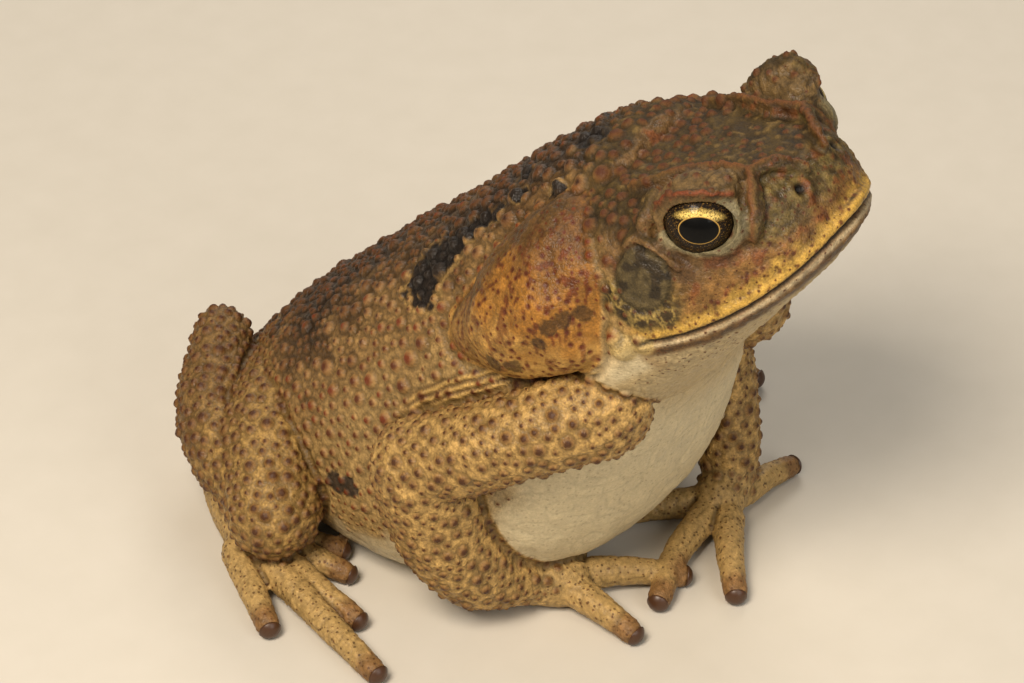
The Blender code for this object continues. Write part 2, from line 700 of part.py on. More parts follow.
def parted(skin):
    """Parts the whole skin into the named pieces of the toad."""
    pieces = []
    rest = skin
    for side in SIDES:
        limbs = limb_stations(side)
        order = [n for n in limbs if n.startswith(("finger", "toe"))]
        order += [f"{part}_{side}" for part in ("hand", "forearm", "upper_arm", "thigh", "shank", "foot")]
        for name in order:
            rest, piece = carved(rest, name, *sleeve(name, limbs[name], side))
            pieces.append(piece)
        inner = thinned(parotoid(side, PAROTOID_SLEEVE), PAROTOID_TRIANGLES)
        outer = thinned(parotoid(side, PAROTOID_SLEEVE + GAP), PAROTOID_TRIANGLES)
        rest, piece = carved(rest, f"parotoid_{side}", inner, outer)
        pieces.append(piece)
        rest, piece = eye_parts(rest, side)
        pieces.append(piece)
        rest = nostril(rest, side)
        frame = tympanum_frame(side)
        inner = plug(frame, TYMPANUM_R, TYMPANUM_DEPTH)
        outer = plug(frame, TYMPANUM_R + GAP, TYMPANUM_DEPTH + GAP)
        rest, piece = carved(rest, f"tympanum_{side}", inner, outer)
        pieces.append(piece)
    frame = neck_frame()
    tool = slab(frame, GAP)
    rest = cut(rest, tool, "DIFFERENCE")
    bpy.data.objects.remove(tool)
    tool = mouth_tool()
    rest = cut(rest, tool, "DIFFERENCE")
    bpy.data.objects.remove(tool)
    torso, head, jaw, *scraps = loose_parts(rest)
    for scrap in scraps:
        bpy.data.objects.remove(scrap)
    turn = head_matrix().inverted()
    if (turn @ middle(head)).z < (turn @ middle(jaw)).z:
        head, jaw = jaw, head
    for piece, name in ((torso, "torso"), (head, "head"), (jaw, "lower_jaw")):
        piece.name = name
        pieces.append(piece)
    return pieces


def middle(obj):
    """Mean of an object's corners."""
    return sum((v.co for v in obj.data.vertices), Vector()) / len(obj.data.vertices)


def paint(obj):
    """Own material in the colour of the piece's kind."""
    kind = obj.name.split("_")[0]
    if obj.name.startswith(("finger", "toe", "hand", "foot")):
        kind = "digit"
    elif obj.name == "lower_jaw":
        kind = "lower_jaw"
    elif kind in ("upper", "forearm", "thigh", "shank"):
        kind = "limb"
    *colour, roughness = COLOURS[kind]
    material = bpy.data.materials.new(obj.name)
    material.use_nodes = True
    shader = material.node_tree.nodes["Principled BSDF"]
    shader.inputs["Base Color"].default_value = (*colour, 1)
    shader.inputs["Roughness"].default_value = roughness
    obj.data.materials.clear()
    obj.data.materials.append(material)
    obj.data.shade_smooth()
    obj.data.set_sharp_from_angle(angle=math.radians(50))


def closed(obj):
    """Whether every edge joins two faces."""
    bm = bmesh.new()
    bm.from_mesh(obj.data)
    whole = all(edge.is_manifold for edge in bm.edges)
    bm.free()
    return whole


def lightened(obj):
    """Drops thin triangles that the cuts leave, as long as the piece stays closed."""
    name = obj.name
    for share in KEPT:
        lighter = twin(obj, name)
        reduce = lighter.modifiers.new("reduce", "DECIMATE")
        reduce.ratio = share
        lighter = baked(lighter)
        if closed(lighter):
            break
        bpy.data.objects.remove(lighter)
    bpy.data.objects.remove(obj)
    lighter.name = name
    return lighter


def build():
    for obj in list(bpy.data.objects):
        bpy.data.objects.remove(obj)
    skin = fused("skin", forms(), CELL, SMOOTHING)
    skin = fused("skin", [skin, *warts(skin)], CELL, WART_SMOOTHING)
    skin = thinned(skin, SKIN_TRIANGLES)
    tool = floor_tool()
    skin = cut(skin, tool, "DIFFERENCE")
    bpy.data.objects.remove(tool)
    toad = bpy.data.collections.new("cane_toad")
    bpy.context.scene.collection.children.link(toad)
    for piece in parted(skin):
        if not piece.name.startswith("eye"):
            piece = lightened(piece)
        paint(piece)
        bpy.context.scene.collection.objects.unlink(piece)
        toad.objects.link(piece)


build()
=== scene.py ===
import json
import math

import bmesh
import bpy
import numpy as np
from mathutils import Matrix, Vector, kdtree

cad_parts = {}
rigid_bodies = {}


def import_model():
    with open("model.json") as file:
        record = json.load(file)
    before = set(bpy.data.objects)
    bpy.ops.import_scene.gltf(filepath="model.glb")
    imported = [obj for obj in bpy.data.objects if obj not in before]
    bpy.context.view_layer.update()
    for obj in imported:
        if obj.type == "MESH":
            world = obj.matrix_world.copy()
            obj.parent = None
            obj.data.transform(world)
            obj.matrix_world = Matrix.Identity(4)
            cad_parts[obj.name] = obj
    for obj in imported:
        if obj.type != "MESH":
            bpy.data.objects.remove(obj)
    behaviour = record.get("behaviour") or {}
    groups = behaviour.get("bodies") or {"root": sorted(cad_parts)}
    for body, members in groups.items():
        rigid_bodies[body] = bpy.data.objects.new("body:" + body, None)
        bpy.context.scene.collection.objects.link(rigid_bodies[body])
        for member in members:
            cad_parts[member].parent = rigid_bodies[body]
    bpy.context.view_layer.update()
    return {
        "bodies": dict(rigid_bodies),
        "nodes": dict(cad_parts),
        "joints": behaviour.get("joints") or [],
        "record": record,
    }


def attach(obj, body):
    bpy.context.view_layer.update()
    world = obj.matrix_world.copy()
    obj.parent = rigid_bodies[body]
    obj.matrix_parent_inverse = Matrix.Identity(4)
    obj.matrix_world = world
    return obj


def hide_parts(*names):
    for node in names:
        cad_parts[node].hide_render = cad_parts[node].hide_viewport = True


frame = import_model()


# Frame
# The imported solids are the toad's size and pose. Sizes below are in millimetres, in the frame
# of the posed toad, snout towards -Y.
MM = 0.001
SIDES = {"right": -1, "left": 1}
SHIFT_Y = 4.44
SEED = 11


def at(x, y, z):
    """World place of a point given in millimetres in the posed toad's frame."""
    return Vector((x, y + SHIFT_Y, z)) * MM


def link(obj):
    bpy.context.scene.collection.objects.link(obj)
    return obj


# Stand, light and camera
# A plain pale floor under a broad soft lamp above the toad's right shoulder, a weaker one before
# it and a low one behind. The camera stands where the photograph was taken from.


def linear(shade):
    """Linear red, green and blue of an sRGB hex value."""
    parts = [int(shade[i:i + 2], 16) / 255 for i in (1, 3, 5)]
    return np.array([p / 12.92 if p <= 0.04045 else ((p + 0.055) / 1.055) ** 2.4 for p in parts])


def add(material, kind, inputs=None, **settings):
    """Adds a node with its settings; an input is a value, a shade, or a node or socket to link."""
    made = material.node_tree.nodes.new("ShaderNode" + kind)
    for name, value in settings.items():
        setattr(made, name, value)
    for name, value in (inputs or {}).items():
        if isinstance(value, bpy.types.Node):
            value = value.outputs[0]
        if isinstance(value, str):
            value = (*linear(value), 1)
        if isinstance(value, bpy.types.NodeSocket):
            material.node_tree.links.new(value, made.inputs[name])
        else:
            made.inputs[name].default_value = value
    return made


def new_material(name):
    material = bpy.data.materials.new(name)
    material.use_nodes = True
    material.node_tree.nodes.clear()
    return material


def output(material, shader):
    add(material, "OutputMaterial", {"Surface": shader})


FLOOR_HALF = 1500 * MM
floor_paper = new_material("matt_backdrop_paper")
fibre = add(floor_paper, "TexNoise", {"Scale": 400.0, "Detail": 3.0})
paper = add(floor_paper, "Mix", {0: fibre, 6: "#cfcac0", 7: "#c8c3b8"}, data_type="RGBA")
output(floor_paper, add(floor_paper, "BsdfPrincipled",
                        {"Base Color": paper.outputs[2], "Roughness": 0.85}))
floor_mesh = bpy.data.meshes.new("floor")
corners = [(x * FLOOR_HALF, y * FLOOR_HALF, 0) for x, y in ((-1, -1), (1, -1), (1, 1), (-1, 1))]
floor_mesh.from_pydata(corners, [], [(0, 1, 2, 3)])
floor_mesh.materials.append(floor_paper)
floor = link(bpy.data.objects.new("floor", floor_mesh))

bpy.context.scene.view_settings.view_transform = "Standard"
world = bpy.data.worlds.new("studio")
bpy.context.scene.world = world
world.use_nodes = True
world.node_tree.nodes["Background"].inputs["Color"].default_value = (*linear("#d8d2c8"), 1)
world.node_tree.nodes["Background"].inputs["Strength"].default_value = 0.28

# Lamps: azimuth and elevation seen from the toad, distance, width, watts, shade
LAMPS = {
    "key": (-78, 52, 620, 240, 4.6, "#fff0dc"),
    "front": (-10, 30, 700, 380, 1.4, "#fffaf2"),
    "rim": (125, 40, 650, 300, 1.6, "#fff6ea"),
}
AIM = Vector((0, 0, 0.04))
for name, (azimuth, elevation, distance, width, watts, shade) in LAMPS.items():
    a, e = math.radians(azimuth), math.radians(elevation)
    back = Vector((math.sin(a) * math.cos(e), -math.cos(a) * math.cos(e), math.sin(e)))
    lamp = bpy.data.lights.new(name, "AREA")
    lamp.size = width * MM
    lamp.energy = watts
    lamp.color = linear(shade)
    lamp_object = link(bpy.data.objects.new(name, lamp))
    lamp_object.location = AIM + back * distance * MM
    lamp_object.rotation_euler = back.to_track_quat("Z", "Y").to_euler()

CAMERA_AZIMUTH = -50
CAMERA_ELEVATION = 37
CAMERA_DISTANCE = 560
CAMERA_TARGET = (0, 0, 30.7)
PIXELS_PER_MM = 6.4
PHOTO_WIDTH = 1024
SENSOR_WIDTH = 36
a, e = math.radians(CAMERA_AZIMUTH), math.radians(CAMERA_ELEVATION)
back = Vector((math.sin(a) * math.cos(e), -math.cos(a) * math.cos(e), math.sin(e)))
camera = link(bpy.data.objects.new("camera", bpy.data.cameras.new("camera")))
camera.location = at(*CAMERA_TARGET) + back * CAMERA_DISTANCE * MM
camera.rotation_mode = "QUATERNION"
camera.rotation_quaternion = (-back).to_track_quat("-Z", "Y")
camera.data.sensor_width = SENSOR_WIDTH
camera.data.lens = SENSOR_WIDTH * PIXELS_PER_MM * CAMERA_DISTANCE / PHOTO_WIDTH
camera.data.clip_start = 0.01
bpy.context.scene.camera = camera


# Trunk
# The toad's pear-shaped body, sitting on its belly with the chest raised. It is lofted through
# oval sections from the vent to the neck, and later melts into one skin with the rest.
# Trunk sections: back y, z; belly y, z; half width; share of the depth where it is widest; squareness
TRUNK = [
    (53, 5, 49, 1, 5, 0.5, 0.9),
    (50.5, 11, 44, -2, 14, 0.6, 0.85),
    (45.5, 18, 36, -3, 22, 0.62, 0.8),
    (38, 27, 24, -3, 29, 0.6, 0.75),
    (28, 37, 8, -3, 33, 0.6, 0.72),
    (18, 47, -9, -2.5, 34, 0.58, 0.72),
    (8, 56, -23, 3, 32, 0.55, 0.78),
    (-3, 67, -31.5, 14, 28.5, 0.52, 0.85),
    (-13, 77, -35.5, 30, 24, 0.5, 0.88),
    (-22, 83.5, -39, 46, 21.5, 0.5, 0.9),
    (-30, 85, -40.5, 57, 18, 0.5, 0.9),
]


def mesh_object(name, bm):
    """Object from a bmesh, faces pointing out."""
    bmesh.ops.recalc_face_normals(bm, faces=bm.faces)
    if bm.calc_volume(signed=True) < 0:
        bmesh.ops.reverse_faces(bm, faces=bm.faces)
    mesh = bpy.data.meshes.new(name)
    bm.to_mesh(mesh)
    bm.free()
    return link(bpy.data.objects.new(name, mesh))


def baked(obj):
    """Replaces an object by its evaluated mesh, in world space."""
    graph = bpy.context.evaluated_depsgraph_get()
    mesh = bpy.data.meshes.new_from_object(obj.evaluated_get(graph))
    mesh.transform(obj.matrix_world)
    name = obj.name
    bpy.data.objects.remove(obj)
    return link(bpy.data.objects.new(name, mesh))


def loft(name, rings):
    """Closed body through rings of equally many points, rounded by subdivision."""
    bm = bmesh.new()
    rows = [[bm.verts.new(p) for p in ring] for ring in rings]
    for low, high in zip(rows, rows[1:]):
        for i in range(len(low)):
            j = (i + 1) % len(low)
            bm.faces.new((low[i], low[j], high[j], high[i]))
    bm.faces.new(rows[0])
    bm.faces.new(reversed(rows[-1]))
    obj = mesh_object(name, bm)
    smooth = obj.modifiers.new("round", "SUBSURF")
    smooth.levels = smooth.render_levels = 2
    return obj


def trunk():
    """Pear-shaped body resting on its belly."""
    rings = []
    for back_y, back_z, belly_y, belly_z, half, widest, square in TRUNK:
        back, belly = at(0, back_y, back_z), at(0, belly_y, belly_z)
        ring = []
        for k in range(16):
            turn = 2 * math.pi * k / 16
            down, out = -math.cos(turn), math.sin(turn)
            reach = math.copysign(abs(out) ** square, out)
            if down <= 0:
                share = widest * (1 - abs(down) ** 0.9)
            else:
                share = widest + (1 - widest) * down ** square
            ring.append(back.lerp(belly, share) + Vector((half * reach * MM, 0, 0)))
        rings.append(ring)
    return baked(loft("trunk", rings))


# Skull
# The broad flat-topped head with its blunt snout, lofted through half sections in a frame of its
# own, which looks up, a little to the toad's left, and leans to its right.
# Head frame: origin at the front of the lips, then the head's left, forward along the mouth, up
LIP_FRONT = (4, -60.6, 79.4)
HEAD_PITCH = 39
HEAD_YAW = 8.4
HEAD_ROLL = 7.5

# Head sections: forward station, then (out, up) of crown, crest, brow, cheek, lip, jaw, throat side
# and throat
HEAD_SECTIONS = [
    (-46, (0, 26), (11, 25), (20, 20), (23, 8), (23, 2), (21, -8), (12, -14), (0, -16)),
    (-36, (0, 25), (11.5, 24.5), (19.5, 19), (22.5, 9), (23, 2), (21, -6), (12, -11), (0, -13)),
    (-28, (0, 22.8), (12, 23), (19, 19), (22.6, 10), (22.8, 1.8), (20.5, -4.5), (12, -8.5), (0, -10.5)),
    (-21, (0, 20.6), (12, 21.5), (18, 18), (21.6, 10), (21.2, 0.6), (19, -4), (11, -7), (0, -8.5)),
    (-15, (0, 18.0), (11.3, 19.6), (16.5, 17.5), (19, 9), (18.8, 0), (16.8, -3.2), (10, -5.4), (0, -6.4)),
    (-10, (0, 15.8), (9.8, 17.2), (14, 15.5), (17, 8), (16.2, -0.2), (14.0, -2.4), (8.3, -4.2), (0, -5.1)),
    (-5, (0, 13.8), (8.2, 14.6), (11, 12.4), (13.2, 6.8), (12.8, 0), (10.2, -1.5), (6.4, -2.8), (0, -3.4)),
    (-2.4, (0, 12.4), (5.0, 13.0), (8.2, 10.6), (9.8, 5), (9.4, 0.4), (7.0, -0.6), (4.2, -1.4), (0, -1.9)),
    (-0.9, (0, 9.8), (2.6, 10.0), (4.4, 8.4), (5.6, 4.8), (5.2, 1.4), (4.4, 0.2), (2.8, -0.4), (0, -0.6)),
    (0.4, (0, 7.2), (1.4, 7.2), (2.2, 6.6), (2.6, 5.2), (2.2, 3.6), (1.6, 3), (0.8, 2.8), (0, 2.8)),
]


def head_matrix():
    """Turns head coordinates, in metres, to world ones."""
    pitch = math.radians(HEAD_PITCH)
    left = Vector((1, 0, 0))
    forward = Vector((0, -math.cos(pitch), math.sin(pitch)))
    up = Vector((0, math.sin(pitch), math.cos(pitch)))
    yaw = Matrix.Rotation(math.radians(HEAD_YAW), 3, up)
    roll = Matrix.Rotation(math.radians(HEAD_ROLL), 3, forward)
    axes = Matrix([yaw @ roll @ v for v in (left, forward, up)]).transposed().to_4x4()
    return Matrix.Translation(at(*LIP_FRONT)) @ axes


def on_head(out, forward, up):
    """World place of a point given in millimetres in the head frame."""
    return head_matrix() @ (Vector((out, forward, up)) * MM)


def skull():
    """Head from the neck to the snout, lips and jaw included."""
    rings = []
    for forward, *half in HEAD_SECTIONS:
        ring = [on_head(out, forward, up) for out, up in half]
        ring += [on_head(-out, forward, up) for out, up in reversed(half[1:-1])]
        rings.append(ring)
    return baked(loft("skull", rings))


# Eyes' beds, lids, crests and lips
# Soft lids heaped over the eyes and round bony crests under thin skin, with the rolled lips and
# the small glands behind the corners of the mouth. The left lid is held higher than the right.
# Eye, in the head frame of the left side: centre, radius, direction it looks, half sizes of the
# opening between the lids and how far out its middle is
EYE = (15.1, -11.7, 14.1)
EYE_R = 5.1
EYE_LOOK = (0.89, 0.43, -0.12)
EYE_OPENING = (5.3, 3.9, 2.6)
EYE_OPENING_OUT = 3.4

# Upper lid, a hump along the eye that the left eye holds higher, and the peak of the left one, in
# the head frame: (out, forward, up, radius)
UPPER_LID = [(13.0, -7.9, 15.8, 3.5), (14.6, -10.8, 16.3, 4.8), (14.8, -14.2, 16.2, 4.2)]
LID_RISE = {"right": -0.2, "left": 0.6}
LID_PEAK = [(14.2, -13.0, 18.9, 3.1), (14.7, -10.4, 19.4, 3.2), (15.2, -8.3, 19.7, 2.6)]
# Bed that holds the eye: middle and half sizes
EYE_BED = ((13.8, -12.0, 11.9), (5.0, 6.8, 5.4))

# Bony crests of the head and the lips, in the head frame: (out, forward, up, radius)
CRESTS = {
    "canthal": [(8.8, -5, 15, 1.1), (6.6, -3.2, 14.4, 1.1), (4.8, -1.9, 12.9, 1.0), (3.2, -0.8, 10.6, 0.8)],
    "supraorbital": [(8.8, -5, 15, 1.1), (8.8, -7.4, 16.3, 1.1), (8.9, -10, 17.5, 1.1),
                     (9.8, -13, 18.8, 1.1), (11.4, -17, 19.8, 1.1), (12.2, -22, 20.8, 0.7)],
    "postorbital": [(14.9, -16.8, 19.5, 1.1), (17.1, -17.4, 18.1, 1.3), (18.2, -19.2, 16.6, 1.4),
                    (19.0, -22, 15.4, 1.3)],
    "pretympanic": [(18.7, -20, 16, 1.2), (19.7, -18, 14.4, 1.2), (19.7, -17, 12.4, 1.1),
                    (19.3, -16.4, 9.8, 0.8)],
}
# Crest before each eye, less proud on the left
PREORBITAL = {
    "right": [(8.8, -5, 15, 1.1), (11.1, -4.5, 13.1, 1.2), (12.7, -4.5, 11.1, 1.3), (13.7, -5.1, 9.3, 1.2),
              (14, -6.6, 7.4, 0.7)],
    "left": [(8.8, -5, 15, 1.1), (10.6, -5.6, 13.4, 1.0), (11.6, -6.3, 11.2, 1.0), (12.2, -7.2, 9.3, 1.0),
             (12.8, -8.2, 7.4, 0.6)],
}
# Edge of the upper lid and, about the eye's frame, the ring of the lower one
LID_EDGE = [(17.6, -15.2, 18.4, 0.7), (18.3, -12.7, 19.5, 0.9), (18.5, -10.3, 19.4, 0.9),
            (17.9, -8.0, 18.6, 0.9), (16.6, -6.4, 17.2, 0.9), (14.4, -5.5, 15.5, 0.7)]
LOWER_LID = (5.8, 4.6, 1.2, 1.0)
LOWER_LID_TURN = (150, 385)
LIP_OUT = [(0, 0.2), (2.6, -0.3), (5, -1.5), (7.6, -3.1), (10.4, -5.2), (13, -7.9), (15.4, -11),
           (17.6, -15.2), (19.6, -20.4), (21.2, -26.6)]
UPPER_LIP = (1.3, 1.2)
LOWER_LIP = (-1.3, 0.75)
LOWER_LIP_BACK = 0.9
RICTAL = [(22.2, -31, 2.8, 1.9), (21.8, -28, 1.9, 1.2)]
NOSTRIL = (6.0, -1.0, 9.6)

# Mouth line, in the head frame: up and forward of its lowest point, its curve up from there, its ends
MOUTH_LOW = (-0.5, -12.0)
MOUTH_CURVE = 0.011
MOUTH_ENDS = (9, -28.8)


def through(points, steps):
    """Smooth path through the points, whatever their number of coordinates."""
    padded = [points[0], *points, points[-1]]
    path = []
    for a, b, c, d in zip(padded, padded[1:], padded[2:], padded[3:]):
        for k in range(steps):
            t = k / steps
            place = []
            for p, q, r, s in zip(a, b, c, d):
                bend = (2 * p - 5 * q + 4 * r - s) + t * (3 * q - p - 3 * r + s)
                place.append(0.5 * (2 * q + t * ((r - p) + t * bend)))
            path.append(tuple(place))
    path.append(tuple(points[-1]))
    return path


def round_ends(path):
    """Adds the stations that close a tube with half balls."""
    def cap(tip, inner):
        out = (Vector(tip[:3]) - Vector(inner[:3])).normalized()
        dome = []
        for angle in (30, 60, 82):
            a = math.radians(angle)
            place = Vector(tip[:3]) + out * tip[3] * math.sin(a)
            dome.append((*place, tip[3] * math.cos(a)))
        return dome
    return cap(path[0], path[1])[::-1] + path + cap(path[-1], path[-2])


def tube(name, stations, side=1, grow=0.0, sides=2, steps=4, place=at):
    """Round-ended tube through (x, y, z, radius) stations, as one closed mesh."""
    path = round_ends([(x, y, z, r + grow) for x, y, z, r in through(stations, steps)])
    curve = bpy.data.curves.new(name, "CURVE")
    curve.dimensions = "3D"
    curve.bevel_depth = 1.0
    curve.bevel_resolution = sides
    curve.use_fill_caps = True
    line = curve.splines.new("POLY")
    line.points.add(len(path) - 1)
    for point, (x, y, z, r) in zip(line.points, path):
        point.co = (*place(side * x, y, z), 1)
        point.radius = r * MM
    obj = baked(link(bpy.data.objects.new(name, curve)))
    bm = bmesh.new()
    bm.from_mesh(obj.data)
    bmesh.ops.remove_doubles(bm, verts=bm.verts, dist=1e-6)
    bmesh.ops.recalc_face_normals(bm, faces=bm.faces)
    bm.to_mesh(obj.data)
    bm.free()
    return obj


def ball(name, frame, half, segments=24):
    """Ellipsoid with the given half sizes, in millimetres, in a frame."""
    bm = bmesh.new()
    bmesh.ops.create_uvsphere(bm, u_segments=segments, v_segments=segments // 2 + 2, radius=1.0)
    bm.transform(frame @ Matrix.Diagonal((*[h * MM for h in half], 1)))
    return mesh_object(name, bm)


def facing(place, direction, upward):
    """Frame at a place with z along a direction and y near an upward one."""
    z = direction.normalized()
    x = upward.cross(z).normalized()
    y = z.cross(x)
    return Matrix.Translation(place) @ Matrix((x, y, z)).transposed().to_4x4()


def eye_frame(side):
    """Frame at the eye's middle, z where it looks, y up in the lid's opening."""
    k = SIDES[side]
    turn = head_matrix().to_3x3()
    look = turn @ Vector((k * EYE_LOOK[0], EYE_LOOK[1], EYE_LOOK[2]))
    return facing(on_head(k * EYE[0], EYE[1], EYE[2]), look, Vector((0, 0, 1)))


def mouth_height(forward):
    """Up of the mouth line at a forward place."""
    return MOUTH_LOW[0] + MOUTH_CURVE * (forward - MOUTH_LOW[1]) ** 2


def lip(side, above, radius, back=0.0):
    """Rolled edge of the mouth on one side."""
    stations = []
    for out, forward in LIP_OUT:
        stations.append((out * (1 - back / 20), forward - back, mouth_height(forward) + above, radius))
    return tube("lip", stations, SIDES[side], place=on_head)


def lower_lid(side):
    """Roll of skin that runs under the eye from its rear corner to its front one."""
    frame = eye_frame(side)
    wide, high, out, radius = LOWER_LID
    first, last = LOWER_LID_TURN
    stations = []
    for angle in range(first, last, 20):
        a = math.radians(angle)
        swell = 0.5 + 0.5 * math.sin(math.pi * (angle - first) / (last - first))
        stations.append((wide * math.cos(a), high * math.sin(a), out, radius * swell))
    return tube("lower lid", stations, place=lambda x, y, z: frame @ (Vector((x, y, z)) * MM))


# Ear drums and parotoid glands
# A thin round ear drum lies behind each eye, and behind it a big soft poison gland, swollen
# like a bean under the skin.
# Ear drum: place, radius and half sizes. Gland: (x, y, z, radius) of the balls that it wraps
TYMPANUM = (20.3, -22.2, 10.4)
TYMPANUM_R = 4.4
TYMPANUM_BULGE = (4.4, 4.4, 1.0)
PAROTOID = [
    (22.8, -13, 52.6, 4.8), (24, -21.8, 54.2, 5.0), (22.5, -31, 59.6, 5.1), (18.8, -31, 68.5, 5.7),
    (16.6, -25.5, 72.4, 6.2), (20.2, -20.5, 64, 6.8), (21.6, -25.5, 63, 8.4), (22.4, -21.5, 59.5, 8.4),
]
# Cell of its mesh and rounds of smoothing
PAROTOID_CELL = 0.9
PAROTOID_SMOOTHING = 18


def tympanum_frame(side):
    """Frame on the ear drum's face, z outwards."""
    k = SIDES[side]
    turn = head_matrix().to_3x3()
    return facing(on_head(k * TYMPANUM[0], *TYMPANUM[1:]), turn @ Vector((k, 0.12, 0.1)), Vector((0, 0, 1)))


def parotoid(side, grow=0.0):
    """Swollen gland behind an ear drum, wrapped tightly round its balls."""
    balls = bmesh.new()
    for x, y, z, r in PAROTOID:
        frame = Matrix.Translation(at(SIDES[side] * x, y, z))
        bmesh.ops.create_icosphere(balls, subdivisions=2, radius=(r + grow) * MM, matrix=frame)
    bm = bmesh.new()
    for vert in balls.verts:
        bm.verts.new(vert.co)
    balls.free()
    found = bmesh.ops.convex_hull(bm, input=bm.verts)
    inside = [item for item in found["geom_interior"] if isinstance(item, bmesh.types.BMVert)]
    bmesh.ops.delete(bm, geom=inside, context="VERTS")
    return fused("parotoid", [mesh_object("wrap", bm)], PAROTOID_CELL, PAROTOID_SMOOTHING)


def head_forms(side):
    """Lids, crests, lips and glands that stand up from one side of the skull."""
    k = SIDES[side]
    pieces = [tube("crest", line, k, place=on_head) for line in (*CRESTS.values(), PREORBITAL[side])]
    (out, forward, up), half = EYE_BED
    bed = head_matrix() @ Matrix.Translation(Vector((k * out, forward, up)) * MM)
    pieces.append(ball("eye bed", bed, half))
    rise = LID_RISE[side]
    for line in (UPPER_LID, LID_EDGE):
        raised = [(out, forward, up + rise, radius) for out, forward, up, radius in line]
        pieces.append(tube("lid", raised, k, place=on_head))
    if side == "left":
        pieces.append(tube("lid peak", LID_PEAK, k, place=on_head))
    for out, forward, up, radius in RICTAL:
        middle = Matrix.Translation(on_head(k * out, forward, up))
        pieces.append(ball("gland by the mouth", middle, (radius,) * 3, segments=16))
    pieces.append(lower_lid(side))
    pieces.append(ball("ear drum", tympanum_frame(side), TYMPANUM_BULGE))
    pieces.append(lip(side, *UPPER_LIP))
    pieces.append(lip(side, *LOWER_LIP, LOWER_LIP_BACK))
    return pieces


# Limbs
# Stout fore legs that prop the chest up and folded hind legs, with four fingers and five toes
# each. Every piece is a tapered round form along its bone.
# Limbs as (x, y, z, radius) along their middles, x outwards from the toad's middle plane
LEGS = {
    "right": {
        "thigh": [(12, 34, 15, 9), (28, 25, 16.5, 8.8), (38.5, 16, 12.6, 7.8)],
        "shank": [(38.5, 16, 12.6, 5.6), (31.5, 34.5, 14.5, 6.4), (18, 46, 20, 5.0)],
        "foot": [(18, 46, 19, 4.2), (27, 38, 11, 4.4), (33, 30, 5.0, 4.8), (38.5, 20, 3.6, 4.6)],
    },
    "left": {
        "thigh": [(12, 34, 14, 9), (27, 24, 15, 8.8), (38.5, 15, 12.6, 7.8)],
        "shank": [(38.5, 15, 12.6, 5.6), (33, 32, 12, 6.4), (20, 42, 11.5, 5.0)],
        "foot": [(20, 42, 10.5, 4.2), (28, 36, 7, 4.4), (34, 29, 4.8, 4.8), (38.5, 20, 3.6, 4.6)],
    },
}
TOES = [
    [(34, 21, 3, 2.6), (32, 15, 2.6, 2.2), (30, 10.5, 1.9, 1.9)],
    [(36, 19, 3.4, 2.7), (35, 11.5, 3, 2.2), (33.4, 6, 1.9, 1.9)],
    [(38, 18, 3.6, 2.9), (40, 6, 3, 2.3), (40.4, -2.3, 1.9, 2.0)],
    [(40, 18, 3.7, 3.0), (44, 3, 3.1, 2.4), (47.5, -12.6, 1.9, 2.0)],
    [(42, 21, 3.4, 2.7), (46.5, 13.5, 2.8, 2.3), (50.2, 6.8, 1.9, 2.0)],
]
ARMS = {
    "right": {
        "upper_arm": [(19.5, -33, 46, 8), (28.5, -24, 41, 6.8), (33, -11, 33, 7.2)],
        "forearm": [(33.5, -10, 32, 7.6), (30.5, -12, 19, 7.8), (25.5, -15, 10, 7.2),
                    (18.5, -19, 5.4, 4.8)],
        "hand": [(18.5, -19, 5.2, 4.6), (14.5, -22.8, 3.8, 4.4)],
        "fingers": [
            [(13, -19.5, 3, 2.5), (10.8, -16.8, 2.5, 2.2), (9, -14.6, 1.9, 1.9)],
            [(11.5, -21.5, 3.2, 2.6), (8.8, -20, 2.8, 2.2), (6.4, -18.6, 1.9, 1.9)],
            [(11, -24, 3.6, 2.8), (5.2, -29, 3.1, 2.3), (0.4, -34.4, 1.9, 2.0)],
            [(15, -26, 3.4, 2.8), (15.4, -31.5, 3, 2.3), (15.6, -36.8, 1.9, 2.0)],
        ],
    },
    "left": {
        "upper_arm": [(19, -30, 43, 8), (24, -22, 38.5, 6.6), (26, -17.5, 33.5, 6.2)],
        "forearm": [(26, -18, 33, 6.2), (24.5, -22, 21, 6.2), (22.5, -26, 11, 5.4), (20.5, -28, 6, 4.4)],
        "hand": [(20.5, -28, 5.2, 4.4), (16.5, -29.2, 3.8, 4.4)],
        "fingers": [
            [(14.5, -26.5, 3.2, 2.7), (9, -21, 2.6, 2.3), (4.2, -17.8, 1.9, 1.9)],
            [(13, -29.6, 3.4, 2.8), (2.5, -31.6, 3, 2.3), (-6.6, -35.4, 1.9, 2.0)],
            [(14, -33, 3.4, 2.8), (7.6, -38.2, 3, 2.3), (2.2, -43.4, 1.9, 2.0)],
            [(21, -30.4, 3.2, 2.7), (27, -30.8, 2.7, 2.2), (32.4, -31.5, 1.9, 1.9)],
        ],
    },
}


def limb_stations(side):
    """Every limb piece of a side: name, stations."""
    arm = ARMS[side]
    pieces = {f"{part}_{side}": arm[part] for part in ("upper_arm", "forearm", "hand")}
    pieces.update({f"{part}_{side}": LEGS[side][part] for part in ("thigh", "shank", "foot")})
    pieces.update({f"finger_{side}_{i}": line for i, line in enumerate(arm["fingers"], 1)})
    pieces.update({f"toe_{side}_{i}": line for i, line in enumerate(TOES, 1)})
    return pieces


# Whole skin
# The toad has one skin without a seam, so all the forms melt into one closed surface, which is
# flat where the toad's weight rests on the floor and open where the eyes look out.
SKIN_CELL = 0.36
SKIN_SMOOTHING = 9
SOCKET_GAP = 0.05
BEYOND = 70


